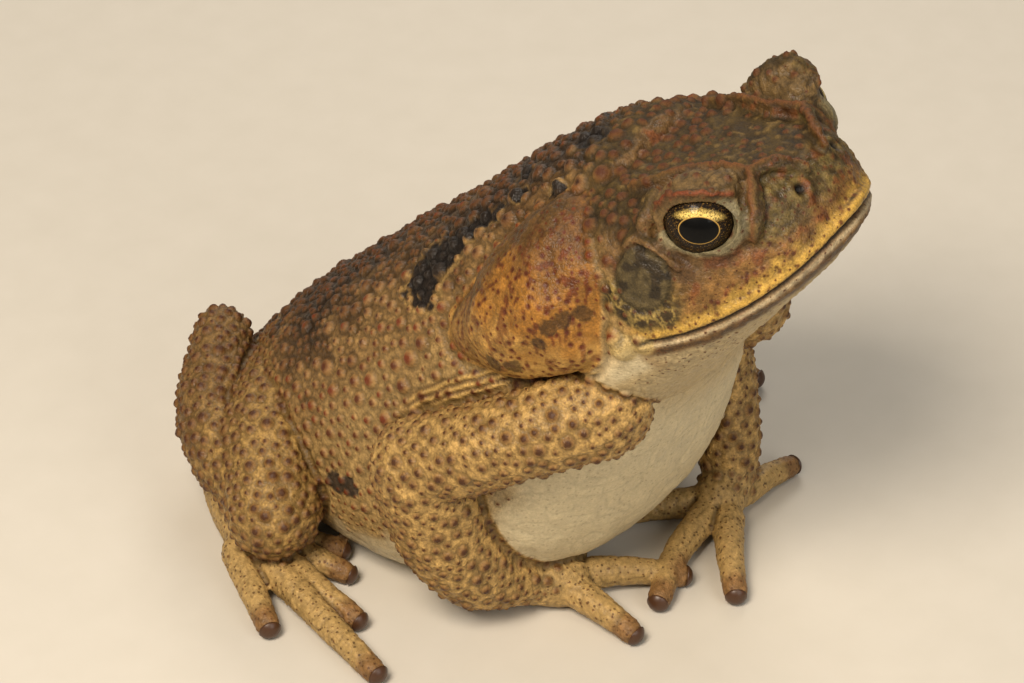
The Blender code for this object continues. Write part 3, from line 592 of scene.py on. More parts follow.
def joined(name, pieces):
    """One object with the faces of all the pieces, which are removed."""
    bm = bmesh.new()
    for obj in pieces:
        bm.from_mesh(obj.data)
        bpy.data.objects.remove(obj)
    mesh = bpy.data.meshes.new(name)
    bm.to_mesh(mesh)
    bm.free()
    return link(bpy.data.objects.new(name, mesh))


def fused(name, pieces, cell, rounds):
    """Pieces melted into one closed skin."""
    obj = joined(name, pieces)
    melt = obj.modifiers.new("melt", "REMESH")
    melt.mode = "VOXEL"
    melt.voxel_size = cell * MM
    soften = obj.modifiers.new("soften", "SMOOTH")
    soften.factor = 0.5
    soften.iterations = rounds
    return baked(obj)


def thinned(obj, triangles):
    """Fewer triangles, kept where the form bends."""
    split = obj.modifiers.new("split", "TRIANGULATE")
    split.quad_method = "BEAUTY"
    obj = baked(obj)
    reduce = obj.modifiers.new("reduce", "DECIMATE")
    reduce.ratio = triangles / len(obj.data.polygons)
    return baked(obj)


def cut(obj, tool, operation):
    """Boolean of two closed meshes, applied."""
    step = obj.modifiers.new("cut", "BOOLEAN")
    step.operation = operation
    step.object = tool
    step.solver = "MANIFOLD"
    return baked(obj)


def slab(frame, thick):
    """Wide box about the frame's origin, its thickness along z."""
    bm = bmesh.new()
    bmesh.ops.create_cube(bm, size=2.0)
    bm.transform(frame @ Matrix.Diagonal((BEYOND * MM, BEYOND * MM, thick / 2 * MM, 1)))
    return mesh_object("tool", bm)


pieces = [trunk(), skull()]
for side, k in SIDES.items():
    for name, stations in limb_stations(side).items():
        pieces.append(tube(name, stations, k, sides=4))
    pieces.append(parotoid(side))
    pieces += head_forms(side)
skin = fused("skin", pieces, SKIN_CELL, SKIN_SMOOTHING)
tools = [slab(Matrix.Translation((0, 0, -BEYOND / 2 * MM)), BEYOND)]
for side in SIDES:
    looking = eye_frame(side)
    tools.append(ball("tool", looking, (EYE_R + SOCKET_GAP,) * 3, segments=96))
    opening = looking @ Matrix.Translation((0, 0, EYE_OPENING_OUT * MM))
    tools.append(ball("tool", opening, EYE_OPENING, segments=96))
for tool in tools:
    skin = cut(skin, tool, "DIFFERENCE")
    bpy.data.objects.remove(tool)
skin.name = "skin"


# Rims of the eyelids
# The lids are thin and rounded where they meet the eyes, so the edges that the openings leave
# are eased, and then held just clear of the eyeballs.
def read(values, name, width, kind=np.float32):
    """A property of every item as an array."""
    found = np.empty(len(values) * width, dtype=kind)
    values.foreach_get(name, found)
    return found.reshape(-1, width)


def in_frame(matrix, places):
    """Places, in millimetres of the world, turned into a frame."""
    turn = np.array(matrix.inverted())
    return places @ turn[:3, :3].T + turn[:3, 3] / MM


def evened(values):
    """Every point's value replaced by the mean of its neighbours'."""
    total = np.bincount(pairs[:, 0], values[pairs[:, 1]], len(joins))
    return (total + np.bincount(pairs[:, 1], values[pairs[:, 0]], len(joins))) / joins


RIM_REACH = 1.5
RIM_ROUNDS = 5
pairs = read(skin.data.edges, "vertices", 2, np.int32)
joins = np.bincount(pairs.ravel(), minlength=len(skin.data.vertices))
place = read(skin.data.vertices, "co", 3).astype(float) / MM
eye_far = np.full(len(place), 99.0)
for side in SIDES:
    local = in_frame(eye_frame(side), place)
    ring = np.hypot(local[:, 0] / EYE_OPENING[0], local[:, 1] / EYE_OPENING[1])
    eye_far = np.where(local[:, 2] > -1, np.minimum(eye_far, ring), eye_far)
for _ in range(RIM_ROUNDS):
    eased = np.stack([evened(place[:, axis]) for axis in range(3)], axis=1)
    place = np.where((eye_far < RIM_REACH)[:, None], eased, place)
for side in SIDES:
    middle = np.array(eye_frame(side).translation) / MM
    away = place - middle
    far = np.linalg.norm(away, axis=1)
    close = far < EYE_R + SOCKET_GAP
    place[close] = middle + away[close] * ((EYE_R + SOCKET_GAP) / far[close])[:, None]
skin.data.vertices.foreach_set("co", (place * MM).ravel().astype(np.float32))
skin.data.update()


# Regions of the skin
# Where each point of the skin lies: how far from each limb, the glands, the drums and the mouth,
# and which way it faces. Warts, folds and colours all follow these.
def smooth_step(values, low, high):
    """0 below low, 1 above high, eased between."""
    t = np.clip((values - low) / (high - low), 0, 1)
    return t * t * (3 - 2 * t)


def lumps(places, size, seed):
    """Smooth noise from -1 to 1 in lumps of a size."""
    lattice = np.random.default_rng(seed).uniform(-1, 1, (32, 32, 32))
    low = np.floor(places / size).astype(int)
    t = places / size - low
    t = t * t * (3 - 2 * t)
    total = np.zeros(len(places))
    for corner in np.ndindex(2, 2, 2):
        share = np.prod(np.where(corner, t, 1 - t), axis=1)
        i, j, k = ((low + corner) % 32).T
        total += share * lattice[i, j, k]
    return total


def cells(places, size, seed):
    """Distances, in shares of a size, to the nearest two of points strewn about that far apart."""
    spots = np.random.default_rng(seed).random((32, 32, 32, 3))
    low = np.floor(places / size).astype(int)
    nearest = np.full(len(places), 9.0)
    second = nearest.copy()
    for step in np.ndindex(3, 3, 3):
        cell = low + np.array(step) - 1
        i, j, k = (cell % 32).T
        gap = np.linalg.norm(cell + spots[i, j, k] - places / size, axis=1)
        second = np.minimum(second, np.maximum(nearest, gap))
        nearest = np.minimum(nearest, gap)
    return nearest, second


def ridge(values, width):
    """1 where a value crosses zero, falling off over a width."""
    return np.exp(-(values / width) ** 2)


def within(low, high):
    """Which points lie in a box."""
    return np.flatnonzero(np.all((place > low) & (place < high), axis=1))


def gap_to(path, reach=6):
    """Gap from every point to a round form through (x, y, z, radius), 99 beyond its reach."""
    path = np.array(path)
    margin = path[:, 3].max() + reach
    near = within(path[:, :3].min(axis=0) - margin, path[:, :3].max(axis=0) + margin)
    best = np.full(len(near), 99.0)
    for start, end in zip(path, path[1:]):
        step = end[:3] - start[:3]
        away = place[near] - start[:3]
        t = np.clip(away @ step / max(step @ step, 1e-6), 0, 1)
        gap = np.linalg.norm(away - t[:, None] * step, axis=1) - start[3] - t * (end[3] - start[3])
        best = np.minimum(best, gap)
    found = np.full(len(place), 99.0)
    found[near] = best
    return found


def far_from(x, y, z):
    """Distance of every point to one in the posed toad's frame."""
    return np.linalg.norm(place - at(x, y, z) / MM, axis=1)


DORSAL = (0, 0.66, 0.75)
normal = read(skin.data.vertex_normals, "vector", 3).astype(float)
head = in_frame(head_matrix(), place)
head_normal = normal @ np.array(head_matrix())[:3, :3]
limb_gap = {}
for side, k in SIDES.items():
    for name, stations in limb_stations(side).items():
        path = [(*(at(k * x, y, z) / MM), r) for x, y, z, r in through(stations, 3)]
        part_name = name.split("_" + side)[0]
        limb_gap[part_name] = np.minimum(limb_gap.get(part_name, 99.0), gap_to(path))
arm_gap = np.minimum(limb_gap["upper_arm"], limb_gap["forearm"])
leg_gap = np.minimum(limb_gap["thigh"], limb_gap["shank"])
digit_gap = np.minimum.reduce([limb_gap[part] for part in ("finger", "toe", "hand", "foot")])
arm = 1 - smooth_step(arm_gap, 0.3, 1.2)
leg = 1 - smooth_step(leg_gap, 0.3, 1.2)
digit = 1 - smooth_step(digit_gap, 0.2, 1.2)
limb = np.maximum.reduce([arm, leg, digit])
gland_gap = np.full(len(place), 99.0)
drum_far = np.full(len(place), 99.0)
for side, k in SIDES.items():
    wrap = thinned(parotoid(side), 260)
    corner = np.array([vert.co for vert in wrap.data.vertices]) / MM
    near = within(corner.min(axis=0) - 6, corner.max(axis=0) + 6)
    gap = np.full(len(near), -99.0)
    for face in wrap.data.polygons:
        gap = np.maximum(gap, (place[near] - np.array(face.center) / MM) @ np.array(face.normal))
    gland_gap[near] = gap
    bpy.data.objects.remove(wrap)
    local = in_frame(tympanum_frame(side), place)
    flat = np.hypot(local[:, 0], local[:, 1] * 0.9)
    drum_far = np.where(np.abs(local[:, 2]) < 5, np.minimum(drum_far, flat), drum_far)
wavy = lumps(place, 7, SEED)
on_face = smooth_step(head[:, 1] + 1.6 * wavy, -31, -25)
trunk_skin = (1 - limb) * (1 - on_face)
gland = (1 - smooth_step(gland_gap, 0.5, 1.1)) * (1 - on_face)
drum = 1 - smooth_step(drum_far, TYMPANUM_R - 0.2, TYMPANUM_R + 0.1)
mouth = head[:, 2] - (MOUTH_LOW[0] + MOUTH_CURVE * (head[:, 1] - MOUTH_LOW[1]) ** 2)
mouth_end = np.hypot(mouth, np.maximum(MOUTH_ENDS[1] - head[:, 1], 0))
mouth_line = np.where(head[:, 1] > MOUTH_ENDS[1], np.abs(mouth), mouth_end)
dorsal = normal @ DORSAL + 0.14 * wavy + 0.06 * lumps(place, 2.5, SEED + 1)
crown = smooth_step(head[:, 1], -34, -27) * smooth_step(head_normal[:, 2] + 0.12 * wavy, 0.45, 0.75)
throat = smooth_step(head[:, 1], -48, -34) * (1 - smooth_step(head[:, 2], -4.5, -1.5)) * (1 - limb)
throat = np.maximum(throat, on_face * (1 - smooth_step(mouth, -3.2, -2.0)))
belly = trunk_skin * (1 - smooth_step(dorsal, -0.5, -0.15)) * (1 - throat)
back_top = trunk_skin * smooth_step(dorsal, 0.74, 0.96)
flank = trunk_skin * (1 - belly) * (1 - throat) * (1 - gland)
cheek = on_face * (1 - throat) * (1 - crown) * (1 - drum)
lid = np.full(len(place), 99.0)
for side, k in SIDES.items():
    lift = LID_RISE[side]
    lid = np.minimum(lid, gap_to([(*(on_head(k * x, y, z + lift) / MM), r) for x, y, z, r in UPPER_LID]))
lid = (1 - smooth_step(lid, 0.1, 0.7)) * on_face
off_floor = smooth_step(place[:, 2], 2, 5)
bend = sum((evened(place[:, axis]) - place[:, axis]) * normal[:, axis] for axis in range(3)) / SKIN_CELL ** 2
for _ in range(8):
    bend = evened(bend)
crease = smooth_step(bend, 0.03, 0.13) * smooth_step(eye_far, 1.2, 1.6)
tree = kdtree.KDTree(len(place))
for index, co in enumerate(place.tolist()):
    tree.insert(co, index)
tree.balance()


# Warts
# Rounded knobs of horny skin, big and scattered on the flanks, crowded on the back, small and
# close on the limbs, grown at places drawn by chance that keep clear of each other.
# Kinds: radius least and most, height over radius, how clear they keep, places tried
WART_KINDS = {
    "boss": (1.05, 1.45, 0.62, 1.15, 5000),
    "cone": (0.65, 1.0, 0.62, 1.1, 50000),
    "bead": (0.42, 0.66, 0.58, 1.4, 90000),
    "pore": (0.3, 0.55, -0.3, 1.3, 16000),
    "dot": (0.2, 0.32, 0.25, 1.9, 30000),
}
# Biggest warts of the right flank: place and radius
RED_WARTS = [
    (21, 10.9, 45.5, 1.2), (27.2, -3.2, 44.9, 1.4), (28.9, 3.6, 38.2, 1.4), (29.6, 10.8, 33.1, 1.2),
    (23.7, -2.3, 51.3, 1.0), (23.6, -6.3, 53.9, 1.0), (24.5, 1, 48, 1.1), (24.8, 4.5, 45.5, 1.0),
    (23.9, 13.4, 40.8, 1.0), (30.1, 14.8, 28.7, 1.0), (20.7, -10.9, 61.5, 1.0), (20.6, 21.9, 36.5, 0.9),
]
WART_REACH = 1.7
WART_CELL = 4
chance = np.random.default_rng(SEED)
nape = on_face * smooth_step(-head[:, 1], 15, 21) * crown
upper_back = trunk_skin * smooth_step(dorsal, 0.45, 0.8) * smooth_step(place[:, 2], 55, 62) * (1 - gland)
high_flank = flank * smooth_step(dorsal, -0.1, 0.2)
low_flank = flank * smooth_step(dorsal, -0.35, -0.05)
upward = smooth_step(normal[:, 2], -0.3, 0.2)
room = {
    "boss": off_floor * np.maximum(0.35 * flank * smooth_step(dorsal, 0.1, 0.35), upper_back),
    "cone": off_floor * np.maximum.reduce([high_flank, 0.5 * leg, 0.12 * arm, 0.3 * nape]),
    "bead": off_floor * np.maximum.reduce([low_flank, arm, leg, 0.1 * crown]),
    "pore": gland,
    "dot": np.maximum.reduce([0.9 * digit * upward, 0.8 * throat * smooth_step(mouth, -12, -6), 0.8 * cheek]),
}
wart_list = []
grid = {}


def grow(index, radius, height, clear, own):
    """Adds a wart at a point of the skin unless it would crowd the others."""
    x, y, z = place[index].tolist()
    i, j, k = int(x // WART_CELL), int(y // WART_CELL), int(z // WART_CELL)
    near = [wart for di in (-1, 0, 1) for dj in (-1, 0, 1) for dk in (-1, 0, 1)
            for wart in grid.get((i + di, j + dj, k + dk), ())]
    if all((x - u) ** 2 + (y - v) ** 2 + (z - w) ** 2 > ((radius + r) * clear) ** 2 for u, v, w, r in near):
        grid.setdefault((i, j, k), []).append((x, y, z, radius))
        wart_list.append((index, radius, height * radius, own))


for x, y, z, radius in RED_WARTS:
    grow(tree.find(at(-x, y, z) / MM)[1], radius, 0.62, 1, 1.0)
for kind, (least, most, height, clear, tries) in WART_KINDS.items():
    picks = chance.integers(0, len(place), tries)
    draws = chance.random((tries, 3))
    kept = draws[:, 1] < room[kind][picks]
    for index, draw in zip(picks[kept].tolist(), draws[kept].tolist()):
        grow(index, least + (most - least) * draw[0] ** 1.5, height, clear, draw[2])
wart_far = np.full(len(place), 9.0)
wart_high = np.zeros(len(place))
wart_own = np.zeros(len(place))
for centre, radius, height, own in wart_list:
    for _, index, distance in tree.find_range(place[centre].tolist(), radius * WART_REACH):
        share = distance / radius
        if share < wart_far[index]:
            wart_far[index] = share
            wart_high[index] = height
            wart_own[index] = own
wart_rise = wart_high * np.clip(1 - wart_far ** 2, 0, 1) ** 0.8
wart_rise -= 0.14 * ridge(wart_far - 1.25, 0.25) * (wart_high > 0.2)


# Relief of the skin
# What stands up or sinks in besides the warts: soft swellings, creases where forms meet, pleats
# below the glands, pebbles, the line of the mouth, nostrils and the drums' rims.
# Middle of the pleats that run from the corner of the jaw back over the elbow, and their spacing
PLEATS = [(23.6, -36.5, 59.5), (24.2, -31, 55.5), (24.2, -26.2, 50.9), (25.9, -19.7, 47.1),
          (27.9, -13.4, 43.2), (29.4, -7.8, 39.1), (33, -2, 35.5)]
PLEAT_APART = 1.15


def laid_on(points):
    """Path of points of the world, in millimetres, moved to the skin's nearest points."""
    return [(*tree.find(Vector(point))[0], 0) for point in points]


def gap_along(line, k, raised):
    """Gap from every point to a line of one side of the head, laid on the skin."""
    points = [on_head(k * out, forward, up + raised) / MM for out, forward, up, _ in through(line, 4)]
    return gap_to(laid_on(points))


pleat_gap = np.full(len(place), 99.0)
crest_gap = pleat_gap.copy()
soft_gap = pleat_gap.copy()
edge_gap = pleat_gap.copy()
nostril_far = pleat_gap.copy()
for side, k in SIDES.items():
    points = [at(k * x, y, z) / MM for x, y, z in through(PLEATS, 4)]
    pleat_gap = np.minimum(pleat_gap, gap_to(laid_on(points)))
    for line in (CRESTS["canthal"], CRESTS["supraorbital"], PREORBITAL[side]):
        crest_gap = np.minimum(crest_gap, gap_along(line, k, 0.6))
    soft_gap = np.minimum(soft_gap, gap_along(CRESTS["pretympanic"], k, 0.6))
    edge_gap = np.minimum(edge_gap, gap_along(LID_EDGE, k, LID_RISE[side]))
    out, forward, up = NOSTRIL
    spot = np.array(tree.find(on_head(k * out, forward, up) / MM)[0])
    nostril_far = np.minimum(nostril_far, np.linalg.norm(place - spot, axis=1))
pleated = (1 - smooth_step(pleat_gap, 2.6, 3.6)) * smooth_step(place[:, 1], -33, -29)
pleated *= trunk_skin * (1 - gland) * (1 - smooth_step(place[:, 1], -3, 3))
pleat = np.cos(2 * math.pi * (pleat_gap + 0.3 * lumps(place, 4, SEED + 21)) / PLEAT_APART)
crest = ridge(crest_gap, 0.45) - 0.55 * ridge(crest_gap - 1.25, 0.5)
edge = ridge(edge_gap, 0.4) - 0.5 * ridge(edge_gap - 1.0, 0.4)
swell = 0.26 * lumps(place, 6, SEED + 2) + 0.14 * lumps(place, 3, SEED + 3)
rumple = lumps(place, 1.7, SEED + 8)
fine = lumps(place, 0.9, SEED + 11)
wrinkle_a = ridge(lumps(place * (1, 1, 0.55), 3.2, SEED + 4), 0.09)
wrinkle_b = ridge(lumps(place * (0.6, 1, 1), 2.1, SEED + 5), 0.12)
wrinkle = np.maximum(wrinkle_a, wrinkle_b) * np.clip(limb + belly + throat, 0, 1)
lid_wrinkle = ridge(lumps(head * (0.35, 0.7, 1.5), 1.3, SEED + 6), 0.2)
nearest, second = cells(place, 1.1, SEED + 6)
pebble = smooth_step(second - nearest, 0.0, 0.4) - 0.6
lips = on_face * ridge(mouth, 2.2)
rise = wart_rise * (1 - 0.7 * lips)
rise += swell * (1 - 0.75 * on_face) * (1 - digit)
rise += 0.10 * pebble * (1 - 0.55 * belly) * (1 - 0.8 * lips)
rise += 0.30 * rumple * np.maximum(back_top, upper_back)
rise += 0.16 * rumple * np.maximum(cheek, crown) * (1 - lips)
rise += 0.16 * fine * on_face * (1 - 0.5 * lips)
rise = rise * (1 - 0.5 * pleated) + 0.26 * pleat * pleated
rise -= 0.45 * ridge(soft_gap, 0.9) * on_face
rise += 0.35 * crest * on_face + 0.32 * edge * on_face * smooth_step(eye_far, 1.15, 1.4)
rise -= 0.22 * lid_wrinkle * lid
rise -= 0.11 * wrinkle
rise -= 0.5 * crease * (1 - 0.6 * on_face)
rise += gland * (0.3 * lumps(place, 4.5, SEED + 9) + 0.16 * lumps(place * (1, 1, 0.4), 1.5, SEED + 16))
rise -= 0.5 * ridge(gland_gap - 1.5, 0.7) * trunk_skin
rise -= 0.45 * ridge(mouth_line, 0.36) * on_face
rise += 0.2 * ridge(mouth - 1.2, 0.7) * on_face
rise -= 0.9 * ridge(nostril_far, 0.75) - 0.35 * ridge(nostril_far - 1.4, 0.45)
rise -= 0.35 * ridge(drum_far - TYMPANUM_R, 0.4) * on_face * (1 - throat)
rise *= smooth_step(place[:, 2], 0.2, 1.5)
rise *= smooth_step(eye_far, 0.95, 1.25)
moved = place + normal * rise[:, None]
moved[:, 2] = np.maximum(moved[:, 2], 0)
# Painted shade: skin lying lower than its smoothed surroundings, in the hollows round warts and in creases, is
# darkened in the colour, less on the belly and throat.
level = rise
for _ in range(8):
    level = evened(level)
hollow = np.clip((level - rise) / 0.12, -1, 1) * (1 - 0.5 * np.clip(belly + throat, 0, 1))


# Colours of the skin
# Ochre and olive pigment, darkest on the back, pale on the belly, with red-brown wart tips and
# black blotches. Each coat has a shade and the share by which it covers the ones before.
def coated(first, coats):
    """Shades of all points: a first one, and the coats laid over it in turn."""
    ground = np.tile(linear(first), (len(place), 1))
    for shade, share in coats:
        ground = ground + (linear(shade) - ground) * np.clip(share, 0, 1)[:, None]
    return ground


# Black blotches behind the gland, over it and at its lower edge, each with a radius, and a scar
BLOTCHES = [
    (18.7, -1.1, 56.8, 5.0), (20.8, -0.2, 54.0, 4.4), (17.4, -3, 59.5, 3.6), (15.4, -4.9, 62.7, 2.2),
    (14.7, -7.1, 65.3, 1.8), (14.4, -9.8, 67.9, 1.7), (13.5, -12.8, 71.2, 1.7), (14.4, -20.1, 75.9, 1.7),
    (28.9, -21.1, 53.7, 2.0), (28.5, -24.4, 54.6, 1.8), (28.7, -29.1, 60.7, 1.3), (28, -30.2, 63.9, 1.5),
    (26.5, -32, 65, 1.6), (24.8, -33.7, 65.9, 1.8), (4.6, -18.6, 79.7, 3.2), (8.1, -10.3, 71.8, 2.6),
]
SCAR = [(-32.8, 7.6, 18.7), (-32.8, 4.8, 19.4)]
mottle = lumps(place, 2.6, SEED + 10)
broad = lumps(place, 9, SEED + 12)
streak = lumps(place * (1.2, 1.2, 0.6), 0.8, SEED + 14)
blushed = lumps(place, 2.0, SEED + 19) + 0.5 * fine
loreal = cheek * smooth_step(head[:, 1], -8, -5) * smooth_step(mouth + mottle, 4, 6)
above = cheek * (mouth > 0)
lip_band = above * smooth_step(mouth, 0.1, 0.5) * (1 - smooth_step(mouth + fine + 0.9 * mottle, 2.1, 3.7))
nearest, second = cells(place, 1.25, SEED + 20)
dotted_lip = above * smooth_step(0.08 * fine - nearest, -0.33, -0.22)
gland_low = smooth_step(-place[:, 2] + 6 * mottle, -66, -55)
gland_streak = gland * smooth_step(streak + 0.35 * mottle, 0.18, 0.44)
nearest, second = cells(place, 1.7, SEED + 17)
net = smooth_step(second - nearest, 0.05, 0.16)
around_drum = smooth_step(-head[:, 1], 17, 21) * (mouth > 1.0) * smooth_step(head[:, 1], -34, -30)
around_drum *= (1 - smooth_step(drum_far + 0.8 * mottle, 6.2, 7.6)) * smooth_step(-head[:, 2], -13, -11)
dark_back = trunk_skin * smooth_step(dorsal, 0.45, 0.8)
blot_near = np.full(len(place), 9.0)
for x, y, z, r in BLOTCHES:
    blot_near = np.minimum(blot_near, np.minimum(far_from(-x, y, z), far_from(x, y + 2, z - 1) * 1.1) / r)
blot_near += 0.25 * mottle + 0.28 * rumple + 0.2 * fine
blot = 1 - smooth_step(blot_near, 0.72, 0.9)
blot_edge = ridge(blot_near - 1.0, 0.13) * trunk_skin * (1 - gland) * (1 - back_top)
scar = np.minimum(*(far_from(*spot) for spot in SCAR)) + 0.7 * mottle
tip_far = np.full(len(place), 99.0)
swollen = np.zeros(len(place))
for side, k in SIDES.items():
    for out, forward, up, radius in RICTAL:
        gap = np.linalg.norm(head - (k * out, forward, up), axis=1) - radius
        swollen = 1 - (1 - swollen) * (1 - 0.8 * (1 - smooth_step(gap, 0.3, 1.0)))
    for name, stations in limb_stations(side).items():
        if name.startswith(("finger", "toe")):
            x, y, z, _ = stations[-1]
            tip_far = np.minimum(tip_far, far_from(k * x, y, z))
ground = coated("#9b7a49", [
    ("#7b5d33", smooth_step(mottle + 0.4 * fine, 0.1, 0.6) * 0.55),
    ("#b3935c", smooth_step(-dorsal, -0.5, -0.1)),
    ("#dccba4", belly),
    ("#5c4121", trunk_skin * smooth_step(dorsal + 0.2 * mottle, 0.5, 0.85) * 0.8),
    ("#38260f", back_top),
    ("#c09b5c", arm),
    ("#ad8a4e", leg),
    ("#74562f", leg * smooth_step(place[:, 1] + 4 * broad, 24, 44) * 0.7),
    ("#bb9a60", digit),
    ("#715531", on_face),
    ("#8b6534", cheek * (1 - smooth_step(mouth + 2 * mottle, 4, 9))),
    ("#6f6034", loreal * 0.8),
    ("#3b2813", loreal * ridge(lumps(place, 1.6, SEED + 18), 0.22) * 0.75),
    ("#7c3d1c", cheek * smooth_step(blushed, 0.3, 0.7) * 0.6),
    ("#4a311b", cheek * smooth_step(mottle + 0.5 * fine, 0.25, 0.6) * 0.6),
    ("#4f3d18", crown),
    ("#35260d", crown * smooth_step(mottle + 0.4 * fine, 0.0, 0.5) * 0.7),
    # Painted highlight: pale specks on the crown stand in for the glints of light on its fine granules.
    ("#8a6f3e", crown * smooth_step(fine, 0.35, 0.6) * 0.35),
    ("#6e5733", lid),
    ("#c39b47", lip_band),
    ("#54200c", dotted_lip * (1 - smooth_step(mouth + 2 * mottle, 4.0, 7.0)) * 0.85),
    ("#bfa97e", throat),
    ("#4a331b", on_face * ridge(mouth + 2.1 + 0.3 * fine, 0.7) * 0.85),
    ("#c3b08c", on_face * ridge(mouth + 0.8, 0.42) * 0.9),
    ("#a26f2b", gland),
    ("#bb914c", gland * gland_low * 0.9),
    ("#57391b", gland * smooth_step(place[:, 2] + 3 * mottle, 65, 76) * 0.8),
    ("#7a5426", gland * smooth_step(broad, 0.1, 0.5) * 0.5),
    ("#682f0f", gland_streak * (0.85 - 0.25 * gland_low)),
    ("#5d4420", gland * smooth_step(dorsal + 0.2 * mottle, 0.55, 0.85) * 0.85),
    ("#6c4c25", on_face * ridge(crest_gap, 0.8) * 0.6),
    ("#5f3016", on_face * ridge(crest_gap, 0.4) * smooth_step(head[:, 1], -17, -15) * 0.6),
    ("#6e3015", on_face * ridge(edge_gap, 0.4) * 0.9),
    ("#c8ad70", swollen),
    ("#8f7840", around_drum),
    ("#2a1c0f", around_drum * net * 0.9),
    ("#574a2e", drum),
    ("#2b2113", drum * smooth_step(lumps(place, 1.5, SEED + 15), 0.1, 0.3) * 0.9),
    # Pale on the pleats' crests, their own colour; darker in the troughs between them, painted shade.
    ("#bf9b58", pleated * smooth_step(pleat, -0.3, 0.6) * 0.8),
    ("#6f4d26", pleated * smooth_step(-pleat, 0.3, 0.9) * 0.7),
    ("#8f8463", on_face * (1 - smooth_step(eye_far, 1.15, 1.4)) * (head[:, 2] < 15.5) * 0.9),
    # Painted shade: the colour darkens in the creases where forms meet, off the face.
    ("#6d5127", crease * (1 - on_face) * 0.5),
    ("#b49256", blot_edge * 0.7),
    ("#20160d", blot * (1 - on_face) * (1 - 0.3 * gland)),
    ("#4b3d2e", 1 - smooth_step(scar, 1.8, 2.1)),
    # Painted shade: near-black in the slit of the mouth and in the nostrils' pits.
    ("#1d120a", ridge(mouth_line, 0.24) * on_face),
    ("#120b06", 1 - smooth_step(nostril_far, 0.5, 0.95)),
    ("#7d5430", (1 - smooth_step(tip_far + 0.5 * mottle, 2.0, 4.2)) * 0.75),
])
tip_shade = coated("#4c2009", [
    ("#3d1d08", np.maximum(arm, leg)),
    ("#66290d", flank * (wart_own > 0.8) * 0.9),
    ("#2c190d", dark_back * (wart_own < 0.85)),
    ("#5f3f20", np.maximum(digit, throat)),
    ("#6b2a0c", gland),
    ("#4a2812", on_face * (1 - throat)),
])
tip_width = 1.0 + 0.25 * np.clip(limb + gland + on_face, 0, 1)
dots = digit * upward + 0.5 * (arm + leg) + 0.7 * throat * smooth_step(mouth, -11, -5) + 0.3 * belly
shades = {"ground": ground, "tip_shade": tip_shade}
shares = {
    "from_tip": wart_far / tip_width + 1.2 * blot + 0.2 * dark_back,
    "hollow": hollow,
    "crown": crown,
    "dots": np.clip(dots + 0.35 * cheek, 0, 1),
    "mottled": 1 - 0.7 * np.clip(belly + throat + 0.7 * digit, 0, 1),
}
skin.data.vertices.foreach_set("co", (moved * MM).ravel().astype(np.float32))
skin.data.update()
for name, values in shades.items():
    layer = skin.data.attributes.new(name, "FLOAT_COLOR", "POINT")
    layer.data.foreach_set("color", np.hstack([values, np.ones((len(place), 1))]).ravel().astype(np.float32))
for name, values in shares.items():
    layer = skin.data.attributes.new(name, "FLOAT", "POINT")
    layer.data.foreach_set("value", values.astype(np.float32))


# Painted skin
# Painted vinyl, as museum models have: a soft gloss that varies in patches and is duller on the crown,
# a fine grain of pebbles and dark tips on the warts.
PEBBLE = 0.55
GRAIN = 0.35
PATCH = 2.2
DOTS_APART = 1.0
PEBBLE_RISE = 0.09
vinyl = new_material("painted_vinyl_skin")
where = add(vinyl, "TexCoord").outputs["Object"]
shown = {name: add(vinyl, "Attribute", attribute_name=name).outputs["Color"] for name in shades}
shown.update({name: add(vinyl, "Attribute", attribute_name=name).outputs["Fac"] for name in shares})
speckle = add(vinyl, "TexNoise", {"Vector": where, "Scale": 1 / (GRAIN * MM), "Detail": 3.0,
                                  "Roughness": 0.6})
patch = add(vinyl, "TexNoise", {"Vector": where, "Scale": 1 / (PATCH * MM), "Detail": 4.0,
                                "Roughness": 0.65})
seam = add(vinyl, "TexVoronoi", {"Vector": where, "Scale": 1 / (PEBBLE * MM)}, feature="DISTANCE_TO_EDGE")
light_dark = add(vinyl, "MapRange", {"Value": patch, "From Min": 0.3, "From Max": 0.7,
                                     "To Min": 0.72, "To Max": 1.22})
toned = add(vinyl, "Mix", {0: shown["mottled"], 6: shown["ground"], 7: light_dark},
            data_type="RGBA", blend_type="MULTIPLY")
dotted = add(vinyl, "MapRange", {"Value": speckle, "From Min": 0.35, "From Max": 0.68,
                                 "To Min": 0.72, "To Max": 1.22})
flecked = add(vinyl, "Mix", {0: shown["mottled"], 6: toned.outputs[2], 7: dotted},
              data_type="RGBA", blend_type="MULTIPLY")
sown = add(vinyl, "TexVoronoi", {"Vector": where, "Scale": 1 / (DOTS_APART * MM)}, feature="F1")
dot = add(vinyl, "MapRange", {"Value": sown.outputs["Distance"], "From Min": 0.16, "From Max": 0.26,
                              "To Min": 0.75, "To Max": 0.0})
dot_share = add(vinyl, "Math", {0: dot, 1: shown["dots"]}, operation="MULTIPLY")
spotted = add(vinyl, "Mix", {0: dot_share, 6: flecked.outputs[2], 7: "#4a2a12"}, data_type="RGBA")
ragged = add(vinyl, "Math", {0: speckle, 1: -0.7, 2: 0.35}, operation="MULTIPLY_ADD")
from_tip = add(vinyl, "Math", {0: shown["from_tip"], 1: ragged}, operation="ADD")
halo = add(vinyl, "MapRange", {"Value": from_tip, "From Min": 0.6, "From Max": 1.15,
                               "To Min": 0.5, "To Max": 0.0})
haloed = add(vinyl, "Mix", {0: halo, 6: spotted.outputs[2], 7: "#734420"}, data_type="RGBA")
tip = add(vinyl, "MapRange", {"Value": from_tip, "From Min": 0.32, "From Max": 0.78,
                              "To Min": 0.95, "To Max": 0.0})
tipped = add(vinyl, "Mix", {0: tip, 6: haloed.outputs[2], 7: shown["tip_shade"]}, data_type="RGBA")
